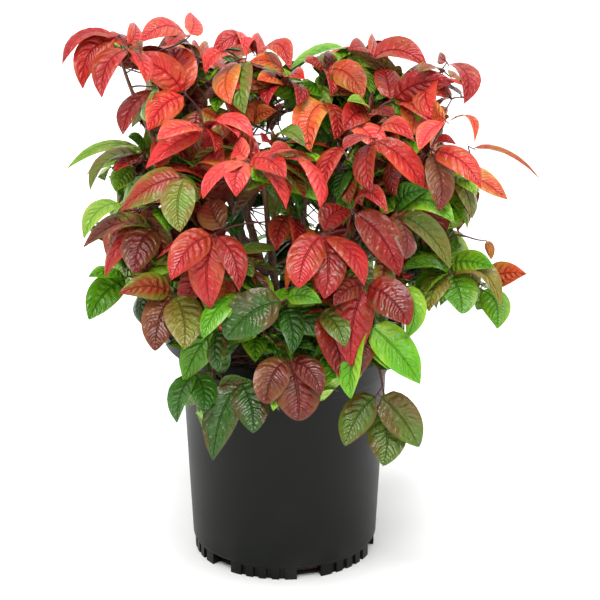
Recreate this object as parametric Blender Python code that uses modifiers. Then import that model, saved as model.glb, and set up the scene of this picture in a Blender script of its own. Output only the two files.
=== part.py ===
"""Heavenly bamboo shrub in its black nursery pot, as separate closed solids.

Lengths are in metres and +Z is up. The origin is the centre of the pot's flat underside, and the
shrub's front faces -Y. The pot holds the potting mix, bare canes fan out of the mix, side boughs
leave the canes, and each cane or bough ends where it enters a mass of foliage. A mass is an uneven
ball of its own shape. It is held back from its neighbours, the stems, the pot and one open way
through the crown, so that no two solids meet.
"""

import math
import random

import bmesh
import bpy
from mathutils import Euler, Vector
from mathutils.bvhtree import BVHTree

# The turned pot
POT_HEIGHT = 0.228
LIP_RADIUS = 0.1145
LIP_BAND = 0.012
COLLAR_TOP_RADIUS = 0.1030
COLLAR_FOOT_RADIUS = 0.1005
COLLAR_FOOT_HEIGHT = 0.189
BODY_TOP_RADIUS = 0.0974
BODY_FOOT_RADIUS = 0.0885
WALL = 0.0022
MOULDED_EDGE = 0.0012
POT_SIDES = 48

# The notched ring at the pot's foot
RING_HEIGHT = 0.013
RING_RADIUS = 0.0868
RING_INNER_RADIUS = 0.0780
FLOOR_THICKNESS = 0.0030
DRAIN_COUNT = 6
DRAIN_WIDTH = 0.024
DRAIN_FIRST_ANGLE = math.radians(-74)
NOTCHES_BETWEEN_DRAINS = 4
NOTCH_WIDTH = 0.0055
NOTCH_DEPTH = 0.0028
NOTCH_SPACING = math.radians(8.4)
WEB_OVER_DRAIN = 0.001
WEB_OVER_NOTCH = 0.002
CUTTER_OVERRUN = 0.002

# The potting mix, which is a little lower at the wall, and the gap between touching solids
MIX_TOP = 0.200
MIX_EDGE_DROP = 0.004
MIX_EDGE_WIDTH = 0.016
MIX_WALL_GAP = 0.0016
MIX_FOOT_RADIUS = 0.0745
TOUCH_GAP = 0.0003

# Canes and boughs: radii at the two ends, and the straight foot that every cane has
CANE_BASE_RADIUS = 0.0044
CANE_TIP_RADIUS = 0.0026
CANE_STRAIGHT_FOOT = 0.012
CANE_EARLY_RISE = 0.34
CANE_EARLY_LEAN = 0.10
CANE_LATE_RISE = 0.38
CANE_LATE_LEAN = 0.22
BOUGH_BASE_RADIUS = 0.0022
BOUGH_TIP_RADIUS = 0.0014
BOUGH_STANDOFF = 0.0006
BOUGH_SQUARE_FOOT = 0.004
STEM_SAMPLES = 48
CANE_POINTS = 8
BOUGH_POINTS = 6
STEM_BEVEL_RESOLUTION = 2
STEM_WALL_SPAN = 4

# How uneven a mass is, and how far it keeps from everything else
MASS_AROUND = 12
MASS_RINGS = 8
LOBES = 12
LOBE_DEPTH = 0.30
LOBE_WIDTH = 0.85
ROUGHNESS = 0.05
MASS_GAP = 0.0024
STEM_CLEARANCE = 0.0012
ENTRY_GAP = 0.0032
SMALLEST_REACH = 0.008

# The open way through the crown: a point on it, its direction and its radius
DAYLIGHT_POINT = Vector((-0.027, 0.0, 0.331))
DAYLIGHT_DIRECTION = Vector((0.0, math.cos(math.radians(21.5)), -math.sin(math.radians(21.5))))
DAYLIGHT_RADIUS = 0.013
DAYLIGHT_HALF_LENGTH = 0.30

# Foliage masses: centre, reach along x, y and z, and tint
MASSES = {
    "foliage_top_left": ((-0.150, -0.020, 0.502), (0.062, 0.060, 0.048), "red"),
    "foliage_top_middle_left": ((-0.064, 0.000, 0.464), (0.066, 0.064, 0.062), "red"),
    "foliage_top_middle": ((0.028, 0.036, 0.456), (0.056, 0.060, 0.048), "green"),
    "foliage_top_right": ((0.110, 0.000, 0.468), (0.082, 0.066, 0.056), "red"),
    "foliage_middle_left": ((-0.134, -0.070, 0.390), (0.074, 0.062, 0.062), "red"),
    "foliage_centre": ((-0.018, -0.108, 0.425), (0.072, 0.054, 0.050), "red"),
    "foliage_middle": ((0.050, -0.058, 0.412), (0.052, 0.046, 0.048), "red"),
    "foliage_middle_right": ((0.120, -0.086, 0.414), (0.076, 0.062, 0.058), "red"),
    "foliage_right_wing": ((0.192, -0.010, 0.372), (0.050, 0.048, 0.036), "bronze"),
    "foliage_left_side": ((-0.140, 0.046, 0.376), (0.054, 0.058, 0.054), "bronze"),
    "foliage_right_side": ((0.146, 0.072, 0.380), (0.050, 0.052, 0.058), "red"),
    "foliage_lower_left": ((-0.128, -0.082, 0.288), (0.064, 0.058, 0.062), "bronze"),
    "foliage_centre_left": ((-0.058, -0.124, 0.340), (0.050, 0.048, 0.050), "red"),
    "foliage_centre_right": ((0.060, -0.126, 0.350), (0.062, 0.050, 0.054), "red"),
    "foliage_lower_right": ((0.160, -0.058, 0.300), (0.070, 0.060, 0.060), "green"),
    "foliage_front_low": ((-0.014, -0.150, 0.288), (0.052, 0.042, 0.042), "bronze"),
    "foliage_front_right_low": ((0.068, -0.148, 0.276), (0.060, 0.044, 0.050), "red"),
    "foliage_hanging_left": ((-0.066, -0.142, 0.214), (0.048, 0.032, 0.066), "green"),
    "foliage_hanging_front": ((0.004, -0.156, 0.224), (0.038, 0.032, 0.036), "bronze"),
    "foliage_hanging_right": ((0.094, -0.140, 0.190), (0.044, 0.032, 0.050), "green"),
    "foliage_left_low": ((-0.152, 0.030, 0.292), (0.044, 0.054, 0.054), "green"),
    "foliage_back_left_high": ((-0.086, 0.108, 0.440), (0.072, 0.066, 0.062), "red"),
    "foliage_back_right_high": ((0.084, 0.112, 0.428), (0.078, 0.066, 0.062), "red"),
    "foliage_back_left_low": ((-0.120, 0.104, 0.314), (0.068, 0.066, 0.064), "bronze"),
    "foliage_back_middle": ((0.004, 0.150, 0.360), (0.066, 0.052, 0.064), "green"),
    "foliage_back_right_low": ((0.126, 0.100, 0.300), (0.070, 0.066, 0.064), "green"),
    "foliage_hanging_back": ((0.036, 0.150, 0.256), (0.054, 0.036, 0.052), "green"),
}

# Canes: the mass each one carries, and where its foot stands on the mix
CANES = {
    "cane_top_left": ("foliage_top_left", (-0.034, 0.006)),
    "cane_top_middle_left": ("foliage_top_middle_left", (-0.010, 0.012)),
    "cane_top_middle": ("foliage_top_middle", (0.008, -0.004)),
    "cane_top_right": ("foliage_top_right", (0.030, 0.006)),
    "cane_middle_left": ("foliage_middle_left", (-0.028, -0.018)),
    "cane_centre": ("foliage_centre", (-0.004, -0.030)),
    "cane_middle": ("foliage_middle", (0.010, -0.022)),
    "cane_middle_right": ("foliage_middle_right", (0.030, -0.016)),
    "cane_back_left": ("foliage_back_left_high", (-0.020, 0.032)),
    "cane_back_right": ("foliage_back_right_high", (0.018, 0.034)),
}

# Boughs: the cane each leaves, how far up that cane, the mass it carries, and its rise in between
BOUGHS = {
    "bough_left_side": ("cane_top_left", 0.42, "foliage_left_side", 0.010),
    "bough_left_low": ("cane_top_left", 0.22, "foliage_left_low", 0.030),
    "bough_right_wing": ("cane_top_right", 0.40, "foliage_right_wing", 0.010),
    "bough_right_side": ("cane_top_right", 0.56, "foliage_right_side", 0.010),
    "bough_lower_left": ("cane_middle_left", 0.24, "foliage_lower_left", 0.030),
    "bough_hanging_left": ("cane_middle_left", 0.18, "foliage_hanging_left", 0.060),
    "bough_centre_left": ("cane_centre", 0.46, "foliage_centre_left", 0.016),
    "bough_front_low": ("cane_centre", 0.26, "foliage_front_low", 0.030),
    "bough_hanging_front": ("cane_centre", 0.16, "foliage_hanging_front", 0.044),
    "bough_centre_right": ("cane_middle_right", 0.40, "foliage_centre_right", 0.016),
    "bough_lower_right": ("cane_middle_right", 0.26, "foliage_lower_right", 0.030),
    "bough_front_right_low": ("cane_middle_right", 0.18, "foliage_front_right_low", 0.030),
    "bough_hanging_right": ("cane_middle_right", 0.13, "foliage_hanging_right", 0.080),
    "bough_back_left_low": ("cane_back_left", 0.28, "foliage_back_left_low", 0.030),
    "bough_back_middle": ("cane_back_left", 0.44, "foliage_back_middle", 0.016),
    "bough_back_right_low": ("cane_back_right", 0.26, "foliage_back_right_low", 0.030),
    "bough_hanging_back": ("cane_back_right", 0.16, "foliage_hanging_back", 0.044),
}

# Colour, roughness and metallic value of each finish
FINISHES = {
    "pot_plastic": ((0.020, 0.021, 0.023), 0.42, 0.0),
    "potting_mix": ((0.060, 0.040, 0.028), 0.95, 0.0),
    "cane_bark": ((0.200, 0.110, 0.070), 0.75, 0.0),
    "foliage_red": ((0.470, 0.040, 0.045), 0.45, 0.0),
    "foliage_bronze": ((0.220, 0.085, 0.045), 0.45, 0.0),
    "foliage_green": ((0.120, 0.260, 0.040), 0.45, 0.0),
}


def clear_scene():
    """Remove whatever objects the file opened with."""
    for obj in list(bpy.data.objects):
        bpy.data.objects.remove(obj, do_unlink=True)


def new_collection(name):
    """A collection linked to the scene."""
    collection = bpy.data.collections.new(name)
    bpy.context.scene.collection.children.link(collection)
    return collection


def finish(name):
    """One Principled material with a plain colour."""
    colour, roughness, metallic = FINISHES[name]
    material = bpy.data.materials.new(name)
    material.use_nodes = True
    shader = material.node_tree.nodes["Principled BSDF"]
    shader.inputs["Base Color"].default_value = (*colour, 1.0)
    shader.inputs["Roughness"].default_value = roughness
    shader.inputs["Metallic"].default_value = metallic
    return material


def add_object(name, data, collection, material=None):
    """Put a mesh or a curve in the scene under its node's name."""
    obj = bpy.data.objects.new(name, data)
    collection.objects.link(obj)
    if material:
        data.materials.append(material)
    return obj


def turned_object(name, profile, sides, collection, material):
    """Turn an outline of (radius, height) points, listed from top to bottom down its outer side."""
    mesh = bpy.data.meshes.new(name)
    points = [(radius, 0.0, height) for radius, height in profile]
    edges = [(index, index + 1) for index in range(len(points) - 1)]
    mesh.from_pydata(points, edges, [])
    obj = add_object(name, mesh, collection, material)
    screw = obj.modifiers.new("turn", "SCREW")
    screw.steps = sides
    screw.render_steps = sides
    screw.use_merge_vertices = True
    screw.merge_threshold = 0.00001
    screw.use_smooth_shade = False
    return obj


def pot_profile():
    """The pot's outline: inner floor, up the inner wall, over the lip and down to the underside."""
    lip_foot = POT_HEIGHT - LIP_BAND
    outside = [
        (LIP_RADIUS - WALL - MOULDED_EDGE, POT_HEIGHT),
        (LIP_RADIUS - MOULDED_EDGE, POT_HEIGHT),
        (LIP_RADIUS, POT_HEIGHT - MOULDED_EDGE),
        (LIP_RADIUS, lip_foot),
        (COLLAR_TOP_RADIUS, lip_foot - MOULDED_EDGE),
        (COLLAR_FOOT_RADIUS, COLLAR_FOOT_HEIGHT),
        (BODY_TOP_RADIUS, COLLAR_FOOT_HEIGHT - MOULDED_EDGE),
        (BODY_FOOT_RADIUS, RING_HEIGHT + MOULDED_EDGE),
        (RING_RADIUS, RING_HEIGHT),
        (RING_RADIUS, 0.0),
        (0.0, 0.0),
    ]
    inside = [
        (0.0, FLOOR_THICKNESS),
        (RING_INNER_RADIUS, FLOOR_THICKNESS),
        (RING_INNER_RADIUS, RING_HEIGHT + FLOOR_THICKNESS),
        (BODY_FOOT_RADIUS - WALL, RING_HEIGHT + 3 * FLOOR_THICKNESS),
        (BODY_TOP_RADIUS - WALL, COLLAR_FOOT_HEIGHT),
        (COLLAR_TOP_RADIUS - WALL, lip_foot),
    ]
    return inside + outside


def radial_box(inner, outer, width, top, angle):
    """A box that reaches in to the pot's foot from outside and from below, at one angle."""
    size = (outer - inner, width, top + CUTTER_OVERRUN)
    centre = ((outer + inner) / 2, 0.0, (top - CUTTER_OVERRUN) / 2)
    box = bmesh.new()
    bmesh.ops.create_cube(box, size=1.0)
    bmesh.ops.scale(box, vec=size, verts=box.verts)
    bmesh.ops.translate(box, vec=centre, verts=box.verts)
    turn = Euler((0.0, 0.0, angle)).to_matrix()
    bmesh.ops.rotate(box, cent=(0.0, 0.0, 0.0), matrix=turn, verts=box.verts)
    return box


def build_foot_cutter(collection):
    """Every drain slot and notch of the foot ring, as one cutter."""
    outer = RING_RADIUS + CUTTER_OVERRUN
    drain_inner = RING_INNER_RADIUS - CUTTER_OVERRUN
    notch_inner = RING_RADIUS - NOTCH_DEPTH
    drain_step = 2 * math.pi / DRAIN_COUNT
    boxes = []
    for drain in range(DRAIN_COUNT):
        angle = DRAIN_FIRST_ANGLE + drain * drain_step
        top = RING_HEIGHT - WEB_OVER_DRAIN
        boxes.append(radial_box(drain_inner, outer, DRAIN_WIDTH, top, angle))
        for notch in range(NOTCHES_BETWEEN_DRAINS):
            offset = (notch - (NOTCHES_BETWEEN_DRAINS - 1) / 2) * NOTCH_SPACING
            turn = angle + drain_step / 2 + offset
            top = RING_HEIGHT - WEB_OVER_NOTCH
            boxes.append(radial_box(notch_inner, outer, NOTCH_WIDTH, top, turn))
    joined = bpy.data.meshes.new("foot_cutter")
    everything = bmesh.new()
    for box in boxes:
        box.to_mesh(joined)
        box.free()
        everything.from_mesh(joined)
    everything.to_mesh(joined)
    everything.free()
    cutter = add_object("foot_cutter", joined, collection)
    cutter.hide_render = True
    cutter.display_type = "WIRE"
    return cutter


def build_pot(parts, cutters, materials):
    """The nursery pot: one turned shell with a notched ring at its foot."""
    pot = turned_object("pot", pot_profile(), POT_SIDES, parts, materials["pot_plastic"])
    cut = pot.modifiers.new("drains", "BOOLEAN")
    cut.operation = "DIFFERENCE"
    cut.object = build_foot_cutter(cutters)


def build_mix(parts, materials):
    """The potting mix: a plug that fills the pot to a little below its lip."""
    wall_foot = RING_HEIGHT + 3 * FLOOR_THICKNESS
    low_radius = BODY_FOOT_RADIUS - WALL - MIX_WALL_GAP
    high_radius = BODY_TOP_RADIUS - WALL - MIX_WALL_GAP
    bottom = FLOOR_THICKNESS + TOUCH_GAP
    profile = [
        (0.0, MIX_TOP),
        (high_radius - MIX_EDGE_WIDTH, MIX_TOP),
        (high_radius, MIX_TOP - MIX_EDGE_DROP),
        (high_radius, MIX_TOP - 3 * MIX_EDGE_DROP),
        (low_radius, wall_foot + MIX_EDGE_DROP),
        (MIX_FOOT_RADIUS, wall_foot - MIX_EDGE_DROP),
        (MIX_FOOT_RADIUS, bottom),
        (0.0, bottom),
    ]
    turned_object("potting_mix", profile, POT_SIDES // 2, parts, materials["potting_mix"])


def bezier(points, t):
    """A point on the cubic curve through its four control points."""
    a, b, c, d = points
    s = 1.0 - t
    return a * s ** 3 + b * 3 * s * s * t + c * 3 * s * t * t + d * t ** 3


def curve_samples(points):
    """Evenly stepped points along the cubic curve."""
    return [bezier(points, index / STEM_SAMPLES) for index in range(STEM_SAMPLES + 1)]


def cane_route(mass_name, foot):
    """From the mix, straight up for a little, then leaning out to the middle of its mass."""
    base = Vector((foot[0], foot[1], MIX_TOP + TOUCH_GAP))
    rise = base + Vector((0.0, 0.0, CANE_STRAIGHT_FOOT))
    target = Vector(MASSES[mass_name][0])
    height = target.z - rise.z
    outward = Vector((target.x - rise.x, target.y - rise.y, 0.0))
    first = rise + Vector((0.0, 0.0, CANE_EARLY_RISE * height)) + outward * CANE_EARLY_LEAN
    second = target - Vector((0.0, 0.0, CANE_LATE_RISE * height)) - outward * CANE_LATE_LEAN
    return [base] + curve_samples((rise, first, second, target))


def bough_route(cane_samples, fraction, mass_name, rise):
    """Square off the cane's skin for a little, then out and over to the middle of its mass."""
    place = round(fraction * (len(cane_samples) - 1))
    joint = cane_samples[place]
    along = (cane_samples[place + 1] - cane_samples[place - 1]).normalized()
    target = Vector(MASSES[mass_name][0])
    outward = Vector((target.x - joint.x, target.y - joint.y, 0.0))
    leave = (outward - along * outward.dot(along)).normalized()
    base = joint + leave * (CANE_BASE_RADIUS + BOUGH_STANDOFF)
    start = base + leave * BOUGH_SQUARE_FOOT
    climb = target.z - start.z
    first = start + outward * 0.3 + Vector((0.0, 0.0, 0.2 * climb + 0.7 * rise))
    second = start + outward * 0.8 + Vector((0.0, 0.0, 0.8 * climb + 1.2 * rise))
    return [base] + curve_samples((start, first, second, target))


def all_routes():
    """Every stem's centre line to the middle of its mass, with its base and tip radius."""
    routes = {}
    for name, (mass_name, foot) in CANES.items():
        routes[name] = (mass_name, cane_route(mass_name, foot), CANE_BASE_RADIUS, CANE_TIP_RADIUS)
    for name, (cane, fraction, mass_name, rise) in BOUGHS.items():
        samples = bough_route(routes[cane][1], fraction, mass_name, rise)
        routes[name] = (mass_name, samples, BOUGH_BASE_RADIUS, BOUGH_TIP_RADIUS)
    return routes


def closest_on_segment(start, end, point):
    """The point of a straight segment that is nearest to another point."""
    along = end - start
    share = (point - start).dot(along) / along.length_squared
    return start + along * min(max(share, 0.0), 1.0)


def wall_towards(centre, nearest, clearance):
    """A wall square to the line from the centre to the nearest point, short of it by clearance."""
    away = nearest - centre
    return away.normalized(), away.length - clearance


def ball_reach(direction, reach):
    """How far an ellipsoid with these three radii reaches along a direction."""
    scaled = Vector((direction.x / reach[0], direction.y / reach[1], direction.z / reach[2]))
    return 1.0 / scaled.length


def neighbour_walls(name):
    """A wall between this mass and each other, shared out by how far both reach."""
    centre = Vector(MASSES[name][0])
    reach = MASSES[name][1]
    walls = []
    for other, (other_centre, other_reach, _) in MASSES.items():
        if other == name:
            continue
        line = Vector(other_centre) - centre
        own = ball_reach(line.normalized(), reach)
        its = ball_reach(line.normalized(), other_reach)
        share = line.length / 2 + (own * own - its * its) / (2 * line.length)
        share = min(max(share, 0.25 * line.length), 0.75 * line.length)
        walls.append((line.normalized(), share - MASS_GAP / 2))
    return walls


def stem_walls(name, routes):
    """A wall before each stretch of every stem that belongs to another mass."""
    centre = Vector(MASSES[name][0])
    walls = []
    for mass_name, samples, base_radius, _ in routes.values():
        if mass_name == name:
            continue
        for start, end in zip(samples, samples[STEM_WALL_SPAN:]):
            nearest = closest_on_segment(start, end, centre)
            walls.append(wall_towards(centre, nearest, base_radius + STEM_CLEARANCE))
    return walls


def pot_wall(name):
    """A wall before the nearest point of the pot's outer cylinder."""
    centre = Vector(MASSES[name][0])
    radial = Vector((centre.x, centre.y, 0.0))
    nearest = radial.normalized() * min(radial.length, LIP_RADIUS)
    nearest.z = min(centre.z, POT_HEIGHT)
    return wall_towards(centre, nearest, MASS_GAP)


def daylight_wall(name):
    """A wall before the open way through the crown."""
    centre = Vector(MASSES[name][0])
    half = DAYLIGHT_DIRECTION * DAYLIGHT_HALF_LENGTH
    nearest = closest_on_segment(DAYLIGHT_POINT - half, DAYLIGHT_POINT + half, centre)
    return wall_towards(centre, nearest, DAYLIGHT_RADIUS)


def random_direction(rng):
    """A direction with no preferred side."""
    return Vector((rng.gauss(0, 1), rng.gauss(0, 1), rng.gauss(0, 1))).normalized()


def mass_lobes(name, rng):
    """Directions in which a mass bulges: outwards, upwards, downwards, and some at random."""
    centre = Vector(MASSES[name][0])
    outward = Vector((centre.x, centre.y, 0.0)).normalized()
    up = Vector((0.0, 0.0, 1.0))
    lobes = [outward, up, -up, (outward - up).normalized()]
    while len(lobes) < LOBES:
        lobes.append(random_direction(rng))
    return lobes


def build_mass(name, seed, routes, parts, materials):
    """One mass of foliage: an uneven ball that stops at the walls round it."""
    centre, reach, tint = MASSES[name]
    centre = Vector(centre)
    rng = random.Random(seed)
    lobes = mass_lobes(name, rng)
    turn = Euler([rng.uniform(0.0, math.pi) for _ in range(3)]).to_matrix()
    walls = neighbour_walls(name) + stem_walls(name, routes) + [pot_wall(name), daylight_wall(name)]
    ball = bmesh.new()
    bmesh.ops.create_uvsphere(ball, u_segments=MASS_AROUND, v_segments=MASS_RINGS, radius=1.0)
    for vertex in ball.verts:
        direction = (turn @ vertex.co).normalized()
        bulge = max(1.0 - direction.angle(lobe) / LOBE_WIDTH for lobe in lobes)
        uneven = 1.0 - LOBE_DEPTH * (1.0 - max(bulge, 0.0)) - rng.uniform(0.0, ROUGHNESS)
        length = ball_reach(direction, reach) * uneven
        for normal, distance in walls:
            facing = direction.dot(normal)
            if facing > 0.0:
                length = min(length, distance / facing)
        vertex.co = centre + direction * max(length, SMALLEST_REACH)
    mesh = bpy.data.meshes.new(name)
    ball.to_mesh(mesh)
    surface = BVHTree.FromBMesh(ball)
    ball.free()
    add_object(name, mesh, parts, materials["foliage_" + tint])
    return surface


def trimmed_route(samples, surface):
    """The stretch of a centre line that lies outside its mass, ending just short of it."""
    kept = [samples[0]]
    for start, end in zip(samples, samples[1:]):
        step = end - start
        along = step.normalized()
        hit, _, _, distance = surface.ray_cast(start, along, step.length + ENTRY_GAP)
        if hit:
            kept.append(start + along * max(distance - ENTRY_GAP, TOUCH_GAP))
            return kept
        kept.append(end)
    return kept


def thinned_route(samples, count):
    """Both ends, the straight foot and a few points spread evenly along the rest."""
    last = len(samples) - 1
    steps = count - 2
    picked = {0, last} | {round(1 + index * (last - 1) / steps) for index in range(steps + 1)}
    return [samples[index] for index in sorted(picked)]


def build_stem(name, samples, base_radius, tip_radius, parts, material):
    """One tapering cane or bough: a round tube with closed ends."""
    points = thinned_route(samples, CANE_POINTS if name in CANES else BOUGH_POINTS)
    curve = bpy.data.curves.new(name, "CURVE")
    curve.dimensions = "3D"
    curve.bevel_depth = base_radius
    curve.bevel_resolution = STEM_BEVEL_RESOLUTION
    curve.use_fill_caps = True
    spline = curve.splines.new("POLY")
    spline.points.add(len(points) - 1)
    for index, (point, place) in enumerate(zip(spline.points, points)):
        share = index / (len(points) - 1)
        point.co = (*place, 1.0)
        point.radius = 1.0 + share * (tip_radius / base_radius - 1.0)
    add_object(name, curve, parts, material)


def main():
    clear_scene()
    parts = new_collection("heavenly_bamboo")
    cutters = new_collection("cutters")
    materials = {name: finish(name) for name in FINISHES}
    build_pot(parts, cutters, materials)
    build_mix(parts, materials)
    routes = all_routes()
    surfaces = {}
    for seed, name in enumerate(MASSES):
        surfaces[name] = build_mass(name, seed, routes, parts, materials)
    for name, (mass_name, samples, base_radius, tip_radius) in routes.items():
        outside = trimmed_route(samples, surfaces[mass_name])
        build_stem(name, outside, base_radius, tip_radius, parts, materials["cane_bark"])


main()
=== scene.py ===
# %% [markdown]
# # A heavenly bamboo in its nursery pot
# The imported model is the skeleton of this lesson: a pot, ten canes, seventeen side boughs and
# twenty-seven lumps that stand for foliage. It could be shaded as it is, but a lump never reads as
# leaves. So the solids are kept only as places and routes, and finer pieces stand in for them.

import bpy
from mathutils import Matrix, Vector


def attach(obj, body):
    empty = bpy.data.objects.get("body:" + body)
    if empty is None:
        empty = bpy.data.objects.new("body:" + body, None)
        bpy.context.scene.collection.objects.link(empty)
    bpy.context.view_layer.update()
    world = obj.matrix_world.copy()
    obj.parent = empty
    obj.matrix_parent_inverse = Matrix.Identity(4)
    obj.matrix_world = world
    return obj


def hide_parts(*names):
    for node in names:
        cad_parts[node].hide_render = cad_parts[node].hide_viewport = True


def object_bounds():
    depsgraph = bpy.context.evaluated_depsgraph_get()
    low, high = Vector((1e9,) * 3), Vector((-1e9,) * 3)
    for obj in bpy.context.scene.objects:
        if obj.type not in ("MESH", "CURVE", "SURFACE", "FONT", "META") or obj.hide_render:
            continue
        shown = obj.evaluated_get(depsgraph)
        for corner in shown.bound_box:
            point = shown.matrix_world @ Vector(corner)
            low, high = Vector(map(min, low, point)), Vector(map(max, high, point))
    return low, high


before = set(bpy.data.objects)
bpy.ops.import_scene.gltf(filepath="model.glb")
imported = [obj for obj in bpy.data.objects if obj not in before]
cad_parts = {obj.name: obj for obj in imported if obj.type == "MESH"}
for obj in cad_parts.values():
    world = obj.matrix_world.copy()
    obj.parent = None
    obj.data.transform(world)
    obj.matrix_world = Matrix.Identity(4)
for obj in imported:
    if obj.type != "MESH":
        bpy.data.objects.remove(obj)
cad_low, cad_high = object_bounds()
print("CAD box", [round(value, 4) for value in (*cad_low, *cad_high)])

# %% Modules
import math
import random
from collections import namedtuple

import bmesh
import bpy
import numpy as np
from mathutils import Matrix, Vector, noise

UP = Vector((0.0, 0.0, 1.0))

# %% [markdown]
# ## The camera
# The shrub was photographed from a little above, from far off, so the pot's sides stay almost
# straight. A long lens three metres away gives the same look. The camera comes first because the
# best-seen sprays are placed by where their tips lie in the picture.

# %% Camera
IMAGE_SIDE = 600
LENS = 190.0
SENSOR = 36.0
CAMERA_DISTANCE = 3.0
CAMERA_ELEVATION = math.radians(21.5)
CAMERA_TARGET = Vector((0.015, 0.0, 0.252))
PIXEL_FOCAL = LENS / SENSOR * IMAGE_SIDE


def linked(name, data):
    """A new object for some data, in the scene."""
    made = bpy.data.objects.new(name, data)
    bpy.context.scene.collection.objects.link(made)
    return made


view_forward = Vector((0.0, math.cos(CAMERA_ELEVATION), -math.sin(CAMERA_ELEVATION)))
view_up = Vector((0.0, math.sin(CAMERA_ELEVATION), math.cos(CAMERA_ELEVATION)))
camera_place = CAMERA_TARGET - view_forward * CAMERA_DISTANCE
camera_data = bpy.data.cameras.new("camera")
camera_data.lens = LENS
camera_data.sensor_width = SENSOR
camera_data.clip_end = 60.0
camera = linked("camera", camera_data)
camera.location = camera_place
camera.rotation_euler = (math.pi / 2 - CAMERA_ELEVATION, 0.0, 0.0)
bpy.context.scene.camera = camera
print("one pixel at the pot's axis is", round(1000 * CAMERA_DISTANCE / PIXEL_FOCAL, 3), "mm")

# %% Between pixels and places
def view_depth(place):
    """How far in front of the camera a place is, along its axis."""
    return (place - camera_place).dot(view_forward)


def place_at(pixel, depth):
    """The place that shows at a pixel, at a given depth."""
    across = (pixel[0] - IMAGE_SIDE / 2) / PIXEL_FOCAL
    upward = (IMAGE_SIDE / 2 - pixel[1]) / PIXEL_FOCAL
    ray = view_forward + Vector((across, 0.0, 0.0)) + view_up * upward
    return camera_place + ray * depth


def pixels_of(points):
    """Pixel columns, pixel rows and depths of an array of places."""
    offset = points - np.array(camera_place)
    depth = offset @ np.array(view_forward)
    columns = IMAGE_SIDE / 2 + PIXEL_FOCAL * offset[:, 0] / depth
    rows = IMAGE_SIDE / 2 - PIXEL_FOCAL * (offset @ np.array(view_up)) / depth
    return columns, rows, depth


# %% [markdown]
# ## Small helpers for shaders
# Every finish here is made of nodes, and so is the sky. Writing `new`, `links` and `default_value`
# each time hides the idea, so a few helpers come first. A socket knows which tree it lives in, so
# no helper has to be told where its node belongs.

# %% Node helpers
def feed(socket, value):
    """Link a socket to another, or set its value."""
    if isinstance(value, bpy.types.NodeSocket):
        socket.id_data.links.new(value, socket)
    else:
        socket.default_value = value


def add_node(kind, *operands):
    """A node in the tree of the first operand that is a socket."""
    tree = next(value.id_data for value in operands if isinstance(value, bpy.types.NodeSocket))
    return tree.nodes.new("ShaderNode" + kind)


def maths(operation, *operands):
    """The result of one maths node."""
    made = add_node("Math", *operands)
    made.operation = operation
    for socket, operand in zip(made.inputs, operands):
        feed(socket, operand)
    return made.outputs[0]


def times(first, second):
    """Two values multiplied."""
    return maths("MULTIPLY", first, second)


def scaled(value, factor, offset):
    """A value times a factor, plus an offset."""
    return maths("MULTIPLY_ADD", value, factor, offset)


def remap(value, low, high, to_low=0.0, to_high=1.0):
    """A value taken smoothly from one range to another."""
    made = add_node("MapRange", value)
    made.interpolation_type = "SMOOTHSTEP"
    for name, number in zip(("Value", "From Min", "From Max", "To Min", "To Max"),
                            (value, low, high, to_low, to_high)):
        feed(made.inputs[name], number)
    return made.outputs["Result"]


def mixed(factor, first, second, blend="MIX"):
    """Two colours mixed."""
    made = add_node("Mix", factor, first, second)
    made.data_type = "RGBA"
    made.blend_type = blend
    for index, value in ((0, factor), (6, first), (7, second)):
        feed(made.inputs[index], value)
    return made.outputs[2]


def speckle(vector, scale, detail=3.0, stretch=None):
    """A noise value on a vector, stretched where asked."""
    if stretch:
        mapping = add_node("Mapping", vector)
        feed(mapping.inputs["Scale"], stretch)
        feed(mapping.inputs["Vector"], vector)
        vector = mapping.outputs["Vector"]
    made = add_node("TexNoise", vector)
    for label, value in (("Scale", scale), ("Detail", detail), ("Vector", vector)):
        feed(made.inputs[label], value)
    return made.outputs["Fac"]


def axes_of(vector):
    """The three parts of a vector, by the name of their axis."""
    made = add_node("SeparateXYZ", vector)
    feed(made.inputs[0], vector)
    return made.outputs


def linear(red, green, blue):
    """A screen colour, 0 to 255, as the linear colour that shaders take."""
    shares = [value / 255 for value in (red, green, blue)]
    return tuple(v / 12.92 if v <= 0.04045 else ((v + 0.055) / 1.055) ** 2.4 for v in shares) + (1.0,)


# %% Skin groups and their materials
SKIN_OUTPUTS = {"Colour": "NodeSocketColor", "Roughness": "NodeSocketFloat", "Height": "NodeSocketFloat"}


def new_skin(name, inputs):
    """A node group for a surface, with what it is given, its coordinates and what it puts out."""
    group = bpy.data.node_groups.new(name, "ShaderNodeTree")
    for label, value in inputs.items():
        kind = "NodeSocketFloat" if isinstance(value, float) else "NodeSocketColor"
        group.interface.new_socket(label, in_out="INPUT", socket_type=kind).default_value = value
    for label, kind in SKIN_OUTPUTS.items():
        group.interface.new_socket(label, in_out="OUTPUT", socket_type=kind)
    given = group.nodes.new("NodeGroupInput").outputs
    coordinates = group.nodes.new("ShaderNodeTexCoord").outputs
    return group, given, coordinates, group.nodes.new("NodeGroupOutput").inputs


def put_out(sockets, colour, roughness, height):
    """Feed what a skin group puts out."""
    for socket, value in zip(sockets, (colour, roughness, height)):
        feed(socket, value)


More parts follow.
